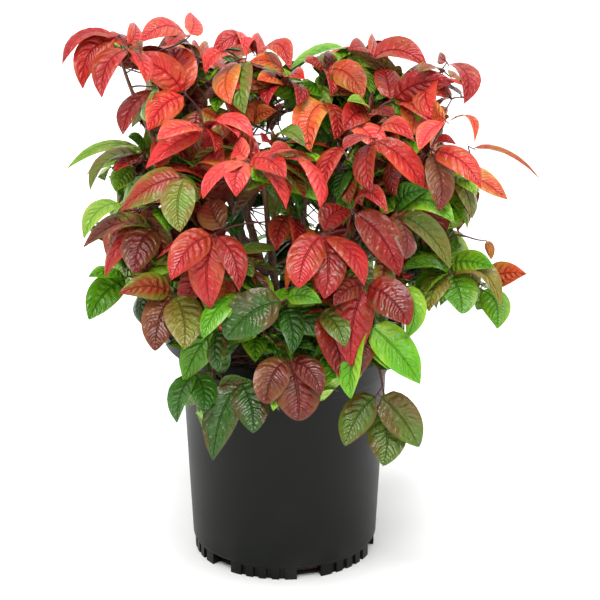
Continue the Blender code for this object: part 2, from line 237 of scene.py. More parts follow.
def new_material(name, group, values, specular=0.5, bump=0.5, relief=0.001):
    """A Principled material that takes colour, roughness and relief from a skin group."""
    material = bpy.data.materials.new(name)
    material.use_nodes = True
    tree = material.node_tree
    skin = tree.nodes.new("ShaderNodeGroup")
    skin.node_tree = group
    for label, value in values.items():
        feed(skin.inputs[label], value)
    raised = tree.nodes.new("ShaderNodeBump")
    for label, value in (("Strength", bump), ("Distance", relief), ("Height", skin.outputs["Height"])):
        feed(raised.inputs[label], value)
    shader = tree.nodes["Principled BSDF"].inputs
    feed(shader["Base Color"], skin.outputs["Colour"])
    feed(shader["Roughness"], skin.outputs["Roughness"])
    feed(shader["Normal"], raised.outputs["Normal"])
    feed(shader["Specular IOR Level"], specular)
    return material


# %% [markdown]
# ## Floor and light
# A nursery photograph is lit softly from all round and printed on white. A bright sky gives that
# even light. A wide soft sun stands high above the crown, so that each leaflet shades the one
# below it, and a weak fill from the camera's side keeps those shadows open. Two small lamps draw
# the glints on the leaflets. The sky is darker behind the camera, which is what leaves the middle
# of the black pot dark between its two pale edges.

# %% Floor
FLOOR_RADIUS = 14.0
floor_mesh = bmesh.new()
bmesh.ops.create_circle(floor_mesh, cap_ends=True, segments=96, radius=FLOOR_RADIUS)
floor_data = bpy.data.meshes.new("floor")
floor_mesh.to_mesh(floor_data)
floor_mesh.free()
floor = linked("floor", floor_data)
floor_paint = bpy.data.materials.new("floor_paint")
floor_paint.use_nodes = True
floor_shader = floor_paint.node_tree.nodes["Principled BSDF"].inputs
feed(floor_shader["Base Color"], (0.94, 0.94, 0.94, 1.0))
feed(floor_shader["Roughness"], 0.9)
feed(floor_shader["Specular IOR Level"], 0.1)
floor_data.materials.append(floor_paint)

# %% Sky
SKY_STRENGTH = 1.15
SKY_BEHIND_CAMERA = 0.25
world = bpy.data.worlds.new("studio")
bpy.context.scene.world = world
world.use_nodes = True
sky = world.node_tree.nodes["Background"].inputs
sky_direction = world.node_tree.nodes.new("ShaderNodeTexCoord").outputs["Generated"]
feed(sky["Strength"], remap(axes_of(sky_direction)["Y"], -0.95, -0.25, SKY_BEHIND_CAMERA, SKY_STRENGTH))
feed(sky["Color"], (1.0, 1.0, 1.0, 1.0))

# %% Lamps
DISTANT_LAMPS = (("window", 2.45, 40, Vector((0.02, -0.42, 1.05))), ("fill", 0.7, 25, -view_forward))
SOFT_LAMPS = (("key", 17.0, 0.34, Vector((-0.5, -1.6, 2.2))), ("top", 12.0, 0.45, Vector((0.5, 0.3, 2.4))))
LAMP_AIM = Vector((0.0, 0.0, 0.35))


def add_lamp(name, kind, power, turn, **settings):
    """A lamp turned one way, with the settings of its kind."""
    data = bpy.data.lights.new(name, kind)
    data.energy = power
    for label, value in settings.items():
        setattr(data, label, value)
    lamp = linked(name, data)
    lamp.rotation_mode = "QUATERNION"
    lamp.rotation_quaternion = turn
    return lamp


for name, power, spread, source in DISTANT_LAMPS:
    add_lamp(name, "SUN", power, source.to_track_quat("Z", "Y"), angle=math.radians(spread))
for name, power, side, place in SOFT_LAMPS:
    turn = (LAMP_AIM - place).to_track_quat("-Z", "Y")
    add_lamp(name, "AREA", power, turn, shape="SQUARE", size=side).location = place
bpy.context.scene.view_settings.view_transform = "Standard"

# %% [markdown]
# ## The leaf's skin
# A leaflet of this shrub is glossy and quilted. Its midrib and seven or eight pairs of side veins
# lie sunken, the skin puckers up between them, and the colour drifts from one tint to another in
# soft patches. The sunken veins are painted darker, partly for the veins' own colour and partly as
# painted shade in their grooves. Painting an image would fix the pattern to one leaflet, so the
# leaflet's own UV map carries it: u runs across, v runs along, and the grid is bent so that a line
# of equal v follows a side vein. One group serves every tint.

# %% Leaf group
VEIN_PAIRS = 8
SIDE_VEIN_SHARE = 0.28
leaf_group, leaf_given, leaf_coordinates, leaf_sockets = new_skin("leaf_skin", {
    "Leaf Colour": (0.5, 0.1, 0.1, 1.0), "Flush Colour": (0.5, 0.1, 0.1, 1.0),
    "Margin Colour": (0.3, 0.2, 0.1, 1.0), "Vein And Groove Shade Colour": (0.2, 0.0, 0.0, 1.0), "Flush Share": 0.6})
leaf_place = leaf_coordinates["Object"]
leaf_axes = axes_of(leaf_coordinates["UV"])
tone_node = leaf_group.nodes.new("ShaderNodeAttribute")
tone_node.attribute_name = "tone"
leaf_tone = tone_node.outputs["Fac"]

side_share = maths("ABSOLUTE", scaled(leaf_axes["X"], 2.0, -1.0))
vein_count = scaled(leaf_axes["Y"], VEIN_PAIRS, speckle(leaf_place, 110.0, 2.0))
ripple = maths("COSINE", times(vein_count, 2 * math.pi))
inner_share = remap(side_share, 0.98, 0.6)
vein_line = times(remap(ripple, -0.70, -1.0), inner_share)
midrib_line = remap(side_share, 0.08, 0.015)
sunken = maths("MAXIMUM", midrib_line, times(vein_line, SIDE_VEIN_SHARE))

# %% Leaf colour
MARGIN_SHARE = 0.85
# How strongly the sunken veins darken: partly the veins' own colour, partly painted groove shade.
VEIN_AND_GROOVE_SHADE_SHARE = 0.34
drift = scaled(leaf_tone, 0.30, speckle(leaf_place, 30.0))
patch = times(remap(drift, 0.50, 0.82), leaf_given["Flush Share"])
edge_drift = scaled(side_share, 0.26, speckle(leaf_place, 36.0, 4.0))
edge_drift = scaled(leaf_axes["Y"], -0.25, edge_drift)
edge_patch = times(remap(edge_drift, 0.44, 0.74), MARGIN_SHARE)
skin = mixed(patch, leaf_given["Leaf Colour"], leaf_given["Flush Colour"])
skin = mixed(edge_patch, skin, leaf_given["Margin Colour"])
# The sunken midrib and side veins take a darker colour: partly their own colour, partly painted shade in the
# grooves.
skin = mixed(times(sunken, VEIN_AND_GROOVE_SHADE_SHARE), skin, leaf_given["Vein And Groove Shade Colour"])
fine_grain = scaled(speckle(leaf_place, 700.0), 0.5, 0.75)
shade = times(remap(leaf_tone, 0.0, 1.0, 0.62, 1.22), fine_grain)
skin = mixed(1.0, skin, shade, "MULTIPLY")

# %% Leaf gloss and relief
pucker = remap(speckle(leaf_place, 55.0, 1.0), 0.35, 0.62, 0.35, 1.0)
quilt = times(remap(ripple, -1.0, 0.9), times(inner_share, pucker))
quilt = maths("SUBTRACT", quilt, times(midrib_line, 1.4))
blister = speckle(leaf_place, 200.0, 2.0)
gloss = scaled(speckle(leaf_place, 90.0), 0.36, 0.07)
put_out(leaf_sockets, skin, scaled(sunken, 0.12, gloss), scaled(blister, 0.9, times(quilt, 1.2)))

# %% [markdown]
# ## The tints
# Autumn turns this plant from the outside in: coral and scarlet where the sun reaches, crimson and
# maroon below, bronze where red meets green, and plain greens inside. A picture could place the
# colours, but it would tie the plant to one view. So each tint is one plain colour with a second
# colour that flushes through it, and whole sprays are dealt out to tints. The underside of a
# leaflet is duller and paler, which the material reads from which side faces the eye.

# %% Tint materials
Tint = namedtuple("Tint", "kind colour flush margin vein under share")
# The vein colour of each tint is darker than its leaf: partly the veins' own colour, partly painted shade in
# the sunken grooves.
TINTS = {
    "coral": Tint("red", (206, 60, 57), (188, 38, 38), (188, 80, 54), (134, 20, 22), (192, 96, 88), 0.7),
    "scarlet": Tint("red", (190, 40, 33), (164, 30, 25), (172, 72, 38), (118, 16, 14), (178, 84, 68), 0.8),
    "crimson": Tint("red", (168, 30, 29), (130, 22, 20), (146, 56, 30), (98, 12, 14), (162, 76, 62), 0.7),
    "deep": Tint("red", (140, 28, 20), (106, 22, 15), (126, 54, 26), (76, 10, 10), (122, 46, 42), 0.8),
    "orange": Tint("red", (188, 82, 38), (178, 54, 32), (172, 112, 44), (124, 34, 18), (184, 114, 70), 0.75),
    "maroon": Tint("bronze", (108, 28, 24), (80, 40, 20), (108, 66, 34), (66, 14, 12), (146, 92, 78), 0.8),
    "bronze": Tint("bronze", (136, 60, 26), (142, 36, 24), (102, 114, 34), (80, 26, 14), (148, 112, 70), 0.9),
    "olive": Tint("bronze", (92, 120, 34), (120, 74, 30), (108, 84, 34), (66, 66, 20), (138, 136, 70), 0.5),
    "moss": Tint("green", (48, 86, 17), (40, 74, 13), (86, 60, 27), (38, 64, 12), (106, 134, 64), 0.8),
    "green": Tint("green", (94, 154, 22), (70, 132, 16), (126, 162, 38), (54, 108, 12), (116, 160, 60), 0.7),
    "forest": Tint("green", (41, 86, 16), (52, 74, 18), (52, 98, 20), (24, 54, 9), (84, 120, 50), 0.7),
    "lime": Tint("green", (128, 170, 42), (104, 152, 32), (156, 174, 62), (98, 138, 26), (166, 198, 90), 0.6),
    "withered": Tint(
        "bronze", (206, 138, 50), (150, 80, 34), (130, 66, 30), (110, 60, 30), (190, 124, 56), 0.5),
}
TINT_LABELS = ("Leaf Colour", "Flush Colour", "Margin Colour", "Vein And Groove Shade Colour")
UNDERSIDE_SHARE = 0.7


def tint_material(name, tint):
    """A leaf material, with its duller underside."""
    values = {label: linear(*colour) for label, colour in zip(TINT_LABELS, tint[1:5])}
    values["Flush Share"] = tint.share
    material = new_material("leaf_" + name, leaf_group, values, specular=0.36, bump=0.85, relief=0.0013)
    nodes = material.node_tree.nodes
    base_colour = nodes["Principled BSDF"].inputs["Base Color"]
    top = base_colour.links[0].from_socket
    under = times(nodes.new("ShaderNodeNewGeometry").outputs["Backfacing"], UNDERSIDE_SHARE)
    feed(base_colour, mixed(under, top, linear(*tint.under)))
    return material


leaf_materials = {name: tint_material(name, tint) for name, tint in TINTS.items()}
print(len(leaf_materials), "leaf tints")

# %% [markdown]
# ## Joining many small shapes
# Hundreds of leaflets as separate objects would be slow and would not travel with the model. Each
# is a copy of one small template instead, and the copies of a kind are heaped into one mesh. The
# template comes from a mesh operator, and only the places of its points are worked out again for
# each copy.

# %% Template and heap
Template = namedtuple("Template", "first second faces uvs")


def read_template(source, first, second):
    """The faces and UVs of a small bmesh, with two numbers for each of its points."""
    uv_layer = source.loops.layers.uv.verify()
    source.verts.index_update()
    faces = [tuple(vert.index for vert in face.verts) for face in source.faces]
    uvs = [tuple(loop[uv_layer].uv) for face in source.faces for loop in face.loops]
    return Template(np.array(first), np.array(second), faces, uvs)


def settle(piece, nodes):
    """A piece rides on the plant's one body and stands for CAD nodes."""
    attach(piece, "root")
    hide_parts(*nodes)


class Heap:
    """Copies of templates that become one mesh."""

    def __init__(self, name):
        self.name = name
        self.points = []
        self.faces = []
        self.uvs = []
        self.tones = []
        self.count = 0
        self.nodes = set()

    def add(self, template, points, tone, node=None):
        """Put in one more copy, whose points have been placed."""
        self.points.append(points)
        self.faces.extend(tuple(index + self.count for index in face) for face in template.faces)
        self.uvs.extend(template.uvs)
        self.tones.extend([tone] * len(points))
        self.count += len(points)
        if node:
            self.nodes.add(node)

    def build(self, material, slot, *nodes):
        """Make the piece, and let it stand for CAD nodes."""
        mesh = bpy.data.meshes.new(self.name)
        mesh.from_pydata(np.concatenate(self.points).tolist(), [], self.faces)
        mesh.uv_layers.new(name="UVMap").data.foreach_set("uv", np.array(self.uvs).ravel())
        mesh.attributes.new("tone", "FLOAT", "POINT").data.foreach_set("value", self.tones)
        mesh.materials.append(material)
        mesh.shade_smooth()
        nodes = sorted(self.nodes | set(nodes))
        settle(linked(self.name, mesh), nodes)
        triangles = sum(len(face) - 2 for face in self.faces)
        print(self.name, triangles, "triangles for", len(nodes), "nodes")


# %% [markdown]
# ## One leaflet
# A leaflet is a pointed oval, broadest two fifths of the way up and drawn out at the tip. Its two
# halves rise from the sunken midrib and turn down again at the margin, like a gull's wings, and
# the whole blade arches over. A flat grid of 4 by 16 squares is enough when its rows are swept
# forward along the side veins: every second row then lies in a vein and the others on a pucker.

# %% Leaflet template
LEAF_COLUMNS = 4
LEAF_ROWS = 2 * VEIN_PAIRS
SAME_PLACE = 0.001
leaf_grid = bmesh.new()
leaf_grid.loops.layers.uv.new("UVMap")
bmesh.ops.create_grid(leaf_grid, x_segments=LEAF_COLUMNS, y_segments=LEAF_ROWS, size=1.0, calc_uvs=True)
for end in (-1.0, 1.0):
    row = [vert for vert in leaf_grid.verts if abs(vert.co.y - end) < SAME_PLACE]
    bmesh.ops.pointmerge(leaf_grid, verts=row, merge_co=Vector((0.0, end, 0.0)))
leaf_corners = [vert.co for vert in leaf_grid.verts]
leaf_template = read_template(
    leaf_grid, [corner.x for corner in leaf_corners], [(corner.y + 1) / 2 for corner in leaf_corners])
leaf_grid.free()
print("a leaflet has", len(leaf_template.faces), "faces")

# %% Leaflet shape
VEIN_SWEEP = 0.24
TIP_DRAWN = 0.70
SLENDER_TIP = 0.95
BROAD_TIP = 0.42


def outline(share, base_power, tip_power):
    """Half the width of a leaflet at a share of its length, at most 1."""
    share = np.clip(share, 0.0, 1.0)
    broadest = base_power / (base_power + tip_power)
    peak = broadest ** base_power * (1.0 - broadest) ** tip_power
    drawn_out = 1.0 - TIP_DRAWN * tip_power * share ** 8
    return drawn_out * share ** base_power * (1.0 - share) ** tip_power / peak


def unit_rows(vectors):
    """Rows scaled to length 1."""
    return vectors / np.linalg.norm(vectors, axis=1, keepdims=True)


def leaf_points(base, tip, facing, bow, width, arch, rng):
    """The template's points as a leaflet from base to tip.

    Its upper side faces one way, and its midrib bends out along the bow.
    """
    across, along = leaf_template.first, leaf_template.second
    side = np.abs(across)
    reach = along + VEIN_SWEEP * side * np.sin(math.pi * along)
    start, end = np.array(base), np.array(tip)
    chord = end - start
    length = np.linalg.norm(chord)
    tip_power = min(max(1.28 - 1.15 * width / length, BROAD_TIP), SLENDER_TIP)
    half = 0.5 * width * outline(reach, rng.uniform(0.46, 0.60), tip_power + rng.uniform(-0.06, 0.06))
    axis = chord / length
    rise = np.array(facing) - axis * np.dot(facing, axis)
    rise /= np.linalg.norm(rise)
    bend = np.array(bow) - axis * np.dot(bow, axis)
    control = start + chord * rng.uniform(0.36, 0.50) + bend * (2.0 * arch * length / np.linalg.norm(bend))
    t = reach[:, None]
    spine = start * (1 - t) ** 2 + control * 2 * t * (1 - t) + end * t * t
    tangent = unit_rows((control - start) * (1 - t) + (end - control) * t)
    twist = rng.uniform(-0.55, 0.55) * (reach - 0.3)
    beside = unit_rows(np.cross(tangent, rise))
    above = np.cross(beside, tangent)
    cos, sin = np.cos(twist)[:, None], np.sin(twist)[:, None]
    beside, above = beside * cos + above * sin, above * cos - beside * sin
    fold = rng.uniform(0.10, 0.55)
    curl = rng.uniform(0.35, 0.75)
    gull = side * (0.30 + fold) - side ** 2 * curl
    ripples = np.cos(2 * math.pi * VEIN_PAIRS * along) * side * (1.25 - side) * rng.uniform(0.02, 0.06)
    wave = 0.05 * side ** 2 * np.sin(9.0 * along + across * 2.0 + rng.uniform(0.0, 6.3))
    lift = (half * (gull + ripples + wave))[:, None]
    return spine + beside * (across * half)[:, None] + above * lift


# %% [markdown]
# ## A tube along a route
# Canes, boughs and leaf stalks are all tubes that follow a bent line and grow thinner. A curve
# object would make them, but the bark relief needs points that can be pushed in and out. So a
# ring is extruded into a straight unit tube once for each fineness, and bent along each route.

# %% Tube template
MOSTLY = 0.7


def tube_template(sides, rings):
    """A straight unit tube, closed at its far end, as angle and share of length for each point."""
    tube = bmesh.new()
    bmesh.ops.create_circle(tube, segments=sides, radius=1.0)
    edges = tube.edges[:]
    for _ in range(rings):
        grown = bmesh.ops.extrude_edge_only(tube, edges=edges)["geom"]
        verts = [item for item in grown if isinstance(item, bmesh.types.BMVert)]
        edges = [item for item in grown if isinstance(item, bmesh.types.BMEdge)]
        bmesh.ops.translate(tube, vec=(0.0, 0.0, 1.0 / rings), verts=verts)
    bmesh.ops.contextual_create(tube, geom=edges)
    bmesh.ops.recalc_face_normals(tube, faces=tube.faces)
    uv_layer = tube.loops.layers.uv.new("UVMap")
    for face in tube.faces:
        corners = [loop.vert.co for loop in face.loops]
        angles = [math.atan2(corner.y, corner.x) / (2 * math.pi) % 1.0 for corner in corners]
        turned = max(angles) - min(angles) > 0.5
        for loop, angle in zip(face.loops, angles):
            loop[uv_layer].uv = (angle + 1.0 if turned and angle < 0.5 else angle, loop.vert.co.z)
    angle = [math.atan2(vert.co.y, vert.co.x) for vert in tube.verts]
    made = read_template(tube, angle, [vert.co.z for vert in tube.verts])
    tube.free()
    return made


def tube_points(template, route, radius_at):
    """The unit tube bent along a route. radius_at takes angles and shares of the length."""
    route = np.array([tuple(point) for point in route])
    steps = np.linalg.norm(np.diff(route, axis=0), axis=1)
    travelled = np.concatenate(([0.0], np.cumsum(steps))) / steps.sum()
    centre = np.stack([np.interp(template.second, travelled, route[:, axis]) for axis in range(3)], axis=1)
    gradient = np.gradient(route, axis=0)
    tangent = unit_rows(np.stack(
        [np.interp(template.second, travelled, gradient[:, axis]) for axis in range(3)], axis=1))
    whole = route[-1] - route[0]
    level_way = abs(whole[0]) >= MOSTLY * np.linalg.norm(whole)
    first = unit_rows(np.cross(tangent, (0.0, 1.0, 0.0) if level_way else (1.0, 0.0, 0.0)))
    second = np.cross(tangent, first)
    radius = radius_at(template.first, template.second)[:, None]
    turn = template.first[:, None]
    return centre + radius * (np.cos(turn) * first + np.sin(turn) * second)


def bezier(points, count):
    """Evenly stepped places along a cubic curve through its control points."""
    a, b, c, d = points
    steps = [index / count for index in range(count + 1)]
    return [a * (1 - t) ** 3 + b * 3 * t * (1 - t) ** 2 + c * 3 * t * t * (1 - t) + d * t ** 3
            for t in steps]


# %% [markdown]
# ## Where the stems go
# The real plant sends bare canes straight up from the mix, and each leans out only near its top.
# Side boughs leave a cane square to its bark and carry the lower foliage. The visible stems have
# to run where the CAD stems run, so the same rules are repeated here, with the same foot places
# and masses. Inside its mass a stem goes on to the centre, where the leaf stalks begin.

# %% The masses of foliage
MASSES = {
    "top_left": ((-0.150, -0.020, 0.502), (0.062, 0.060, 0.048), "red"),
    "top_middle_left": ((-0.064, 0.000, 0.464), (0.066, 0.064, 0.062), "red"),
    "top_middle": ((0.028, 0.036, 0.456), (0.056, 0.060, 0.048), "green"),
    "top_right": ((0.110, 0.000, 0.468), (0.082, 0.066, 0.056), "red"),
    "middle_left": ((-0.134, -0.070, 0.390), (0.074, 0.062, 0.062), "red"),
    "centre": ((-0.018, -0.108, 0.425), (0.072, 0.054, 0.050), "red"),
    "middle": ((0.050, -0.058, 0.412), (0.052, 0.046, 0.048), "red"),
    "middle_right": ((0.120, -0.086, 0.414), (0.076, 0.062, 0.058), "red"),
    "right_wing": ((0.192, -0.010, 0.372), (0.050, 0.048, 0.036), "bronze"),
    "left_side": ((-0.140, 0.046, 0.376), (0.054, 0.058, 0.054), "bronze"),
    "right_side": ((0.146, 0.072, 0.380), (0.050, 0.052, 0.058), "red"),
    "lower_left": ((-0.128, -0.082, 0.288), (0.064, 0.058, 0.062), "bronze"),
    "centre_left": ((-0.058, -0.124, 0.340), (0.050, 0.048, 0.050), "red"),
    "centre_right": ((0.060, -0.126, 0.350), (0.062, 0.050, 0.054), "red"),
    "lower_right": ((0.160, -0.058, 0.300), (0.070, 0.060, 0.060), "green"),
    "front_low": ((-0.014, -0.150, 0.288), (0.052, 0.042, 0.042), "bronze"),
    "front_right_low": ((0.068, -0.148, 0.276), (0.060, 0.044, 0.050), "red"),
    "hanging_left": ((-0.066, -0.142, 0.214), (0.048, 0.032, 0.066), "green"),
    "hanging_front": ((0.004, -0.156, 0.224), (0.038, 0.032, 0.036), "bronze"),
    "hanging_right": ((0.094, -0.140, 0.190), (0.044, 0.032, 0.050), "green"),
    "left_low": ((-0.152, 0.030, 0.292), (0.044, 0.054, 0.054), "green"),
    "back_left_high": ((-0.086, 0.108, 0.440), (0.072, 0.066, 0.062), "red"),
    "back_right_high": ((0.084, 0.112, 0.428), (0.078, 0.066, 0.062), "red"),
    "back_left_low": ((-0.120, 0.104, 0.314), (0.068, 0.066, 0.064), "bronze"),
    "back_middle": ((0.004, 0.150, 0.360), (0.066, 0.052, 0.064), "green"),
    "back_right_low": ((0.126, 0.100, 0.300), (0.070, 0.066, 0.064), "green"),
    "hanging_back": ((0.036, 0.150, 0.256), (0.054, 0.036, 0.052), "green"),
}

# %% Canes and boughs
MIX_TOP = 0.200
CANE_RADII = (0.0044, 0.0026)
BOUGH_RADII = (0.0022, 0.0014)
STEM_SAMPLES = 48
GAP = 0.0003
STRAIGHT_FOOT = 0.012
BARK_GAP = 0.0006
BOUGH_NECK = 0.004
CANES = {
    "top_left": (-0.034, 0.006), "top_middle_left": (-0.010, 0.012), "top_middle": (0.008, -0.004),
    "top_right": (0.030, 0.006), "middle_left": (-0.028, -0.018), "centre": (-0.004, -0.030),
    "middle": (0.010, -0.022), "middle_right": (0.030, -0.016), "back_left_high": (-0.020, 0.032),
    "back_right_high": (0.018, 0.034),
}
CANE_NODES = {"back_left_high": "cane_back_left", "back_right_high": "cane_back_right"}
BOUGHS = {
    "left_side": ("top_left", 0.42, 0.010), "left_low": ("top_left", 0.22, 0.030),
    "right_wing": ("top_right", 0.40, 0.010), "right_side": ("top_right", 0.56, 0.010),
    "lower_left": ("middle_left", 0.24, 0.030), "hanging_left": ("middle_left", 0.18, 0.060),
    "centre_left": ("centre", 0.46, 0.016), "front_low": ("centre", 0.26, 0.030),
    "hanging_front": ("centre", 0.16, 0.044), "centre_right": ("middle_right", 0.40, 0.016),
    "lower_right": ("middle_right", 0.26, 0.030), "front_right_low": ("middle_right", 0.18, 0.030),
    "hanging_right": ("middle_right", 0.13, 0.080), "back_left_low": ("back_left_high", 0.28, 0.030),
    "back_middle": ("back_left_high", 0.44, 0.016), "back_right_low": ("back_right_high", 0.26, 0.030),
    "hanging_back": ("back_right_high", 0.16, 0.044),
}


def flat_offset(target, start):
    """The level part of the way from one place to another."""
    return Vector((target.x - start.x, target.y - start.y, 0.0))


def cane_route(mass, foot):
    """Straight up for a little, then leaning out to the middle of its mass."""
    base = Vector((*foot, MIX_TOP + GAP))
    start = base + UP * STRAIGHT_FOOT
    target = Vector(MASSES[mass][0])
    climb = target.z - start.z
    outward = flat_offset(target, start)
    first = start + UP * (0.34 * climb) + outward * 0.10
    second = target - UP * (0.38 * climb) - outward * 0.22
    return [base] + bezier((start, first, second, target), STEM_SAMPLES)


def bough_route(cane, fraction, mass, lift):
    """Square off a cane's bark, then out and over to the middle of its mass."""
    place = round(fraction * (len(cane) - 1))
    joint = cane[place]
    along = (cane[place + 1] - cane[place - 1]).normalized()
    target = Vector(MASSES[mass][0])
    outward = flat_offset(target, joint)
    leave = (outward - along * outward.dot(along)).normalized()
    base = joint + leave * (CANE_RADII[0] + BARK_GAP)
    start = base + leave * BOUGH_NECK
    climb = target.z - start.z
    first = start + outward * 0.3 + UP * (0.2 * climb + 0.7 * lift)
    second = start + outward * 0.8 + UP * (0.8 * climb + 1.2 * lift)
    return [joint, base] + bezier((start, first, second, target), STEM_SAMPLES)


routes = {mass: cane_route(mass, foot) for mass, foot in CANES.items()}
for mass, (cane, fraction, lift) in BOUGHS.items():
    routes[mass] = bough_route(routes[cane], fraction, mass, lift)
print(len(CANES), "canes and", len(BOUGHS), "boughs")

# %% [markdown]
# ## Bark
# Old canes are grey-brown and furrowed lengthways, with a raised ring wherever a leaf once sat;
# young wood and leaf stalks are smooth and dark red. One group draws both: it stretches noise
# along the tube's UV map for the furrows, and each material gives its own two colours.

# %% Bark group
bark_group, bark_given, bark_coordinates, bark_sockets = new_skin("bark_skin", {
    "Bark Colour": (0.1, 0.05, 0.03, 1.0), "Furrow Colour": (0.03, 0.02, 0.01, 1.0), "Furrow Share": 0.8})
furrow = speckle(bark_coordinates["UV"], 1.0, 4.0, (22.0, 60.0, 1.0))
blotch = speckle(bark_coordinates["Object"], 120.0)
dark_share = times(remap(furrow, 0.60, 0.38), bark_given["Furrow Share"])
bark = mixed(dark_share, bark_given["Bark Colour"], bark_given["Furrow Colour"])
bark = mixed(times(remap(blotch, 0.5, 0.75), 0.35), bark, bark_given["Furrow Colour"])
put_out(bark_sockets, bark, scaled(blotch, 0.3, 0.42), scaled(blotch, 0.5, furrow))

cane_bark = new_material("cane_bark", bark_group, {
    "Bark Colour": linear(132, 92, 66), "Furrow Colour": linear(58, 36, 26)}, bump=0.8, relief=0.0015)
bough_bark = new_material("bough_bark", bark_group, {
    "Bark Colour": linear(112, 52, 42), "Furrow Colour": linear(52, 24, 20)}, bump=0.5)
stalk_skin = new_material("stalk_skin", bark_group, {
    "Bark Colour": linear(96, 30, 32), "Furrow Colour": linear(46, 24, 18), "Furrow Share": 0.5},
    bump=0.3)

# %% [markdown]
# ## Canes and boughs
# The relief is cut into the mesh: ridges run round the tube, a swelling marks every joint, and the
# tube grows thinner to its tip. The ridge phase drifts along the cane so that furrows wander.

# %% Stem pieces
CANE_TUBE = tube_template(14, 84)
BOUGH_TUBE = tube_template(9, 40)
JOINT_SPACING = 0.021
JOINT_NARROWNESS = 12
TIP_FROM = 0.6
TIP_THINNING = 0.55


def barked_radius(radii, length, ridge, swell, phase):
    """A radius that tapers, ripples round the stem and swells at each joint."""
    def radius_at(angle, share):
        taper = radii[0] + (radii[1] - radii[0]) * share
        taper = taper * (1.0 - TIP_THINNING * np.clip((share - TIP_FROM) / (1.0 - TIP_FROM), 0.0, 1.0))
        joints = np.cos(2 * math.pi * share * length / JOINT_SPACING) ** JOINT_NARROWNESS
        ridges = np.cos(5 * angle + phase + 9 * share) + 0.6 * np.cos(3 * angle - 14 * share)
        return taper * (1 + ridge * ridges + swell * joints)
    return radius_at


canes = Heap("canes")
boughs = Heap("boughs")
for index, (mass, route) in enumerate(routes.items()):
    length = sum((after - before).length for before, after in zip(route, route[1:]))
    if mass in CANES:
        radius_at = barked_radius(CANE_RADII, length, 0.055, 0.16, index)
        canes.add(CANE_TUBE, tube_points(CANE_TUBE, route, radius_at), 0.5)
    else:
        radius_at = barked_radius(BOUGH_RADII, length, 0.04, 0.14, index)
        boughs.add(BOUGH_TUBE, tube_points(BOUGH_TUBE, route, radius_at), 0.5)
cane_nodes = [CANE_NODES.get(mass, "cane_" + mass) for mass in CANES]
canes.build(cane_bark, "cane_bark", *cane_nodes)
boughs.build(bough_bark, "cane_bark", *["bough_" + mass for mass in BOUGHS])
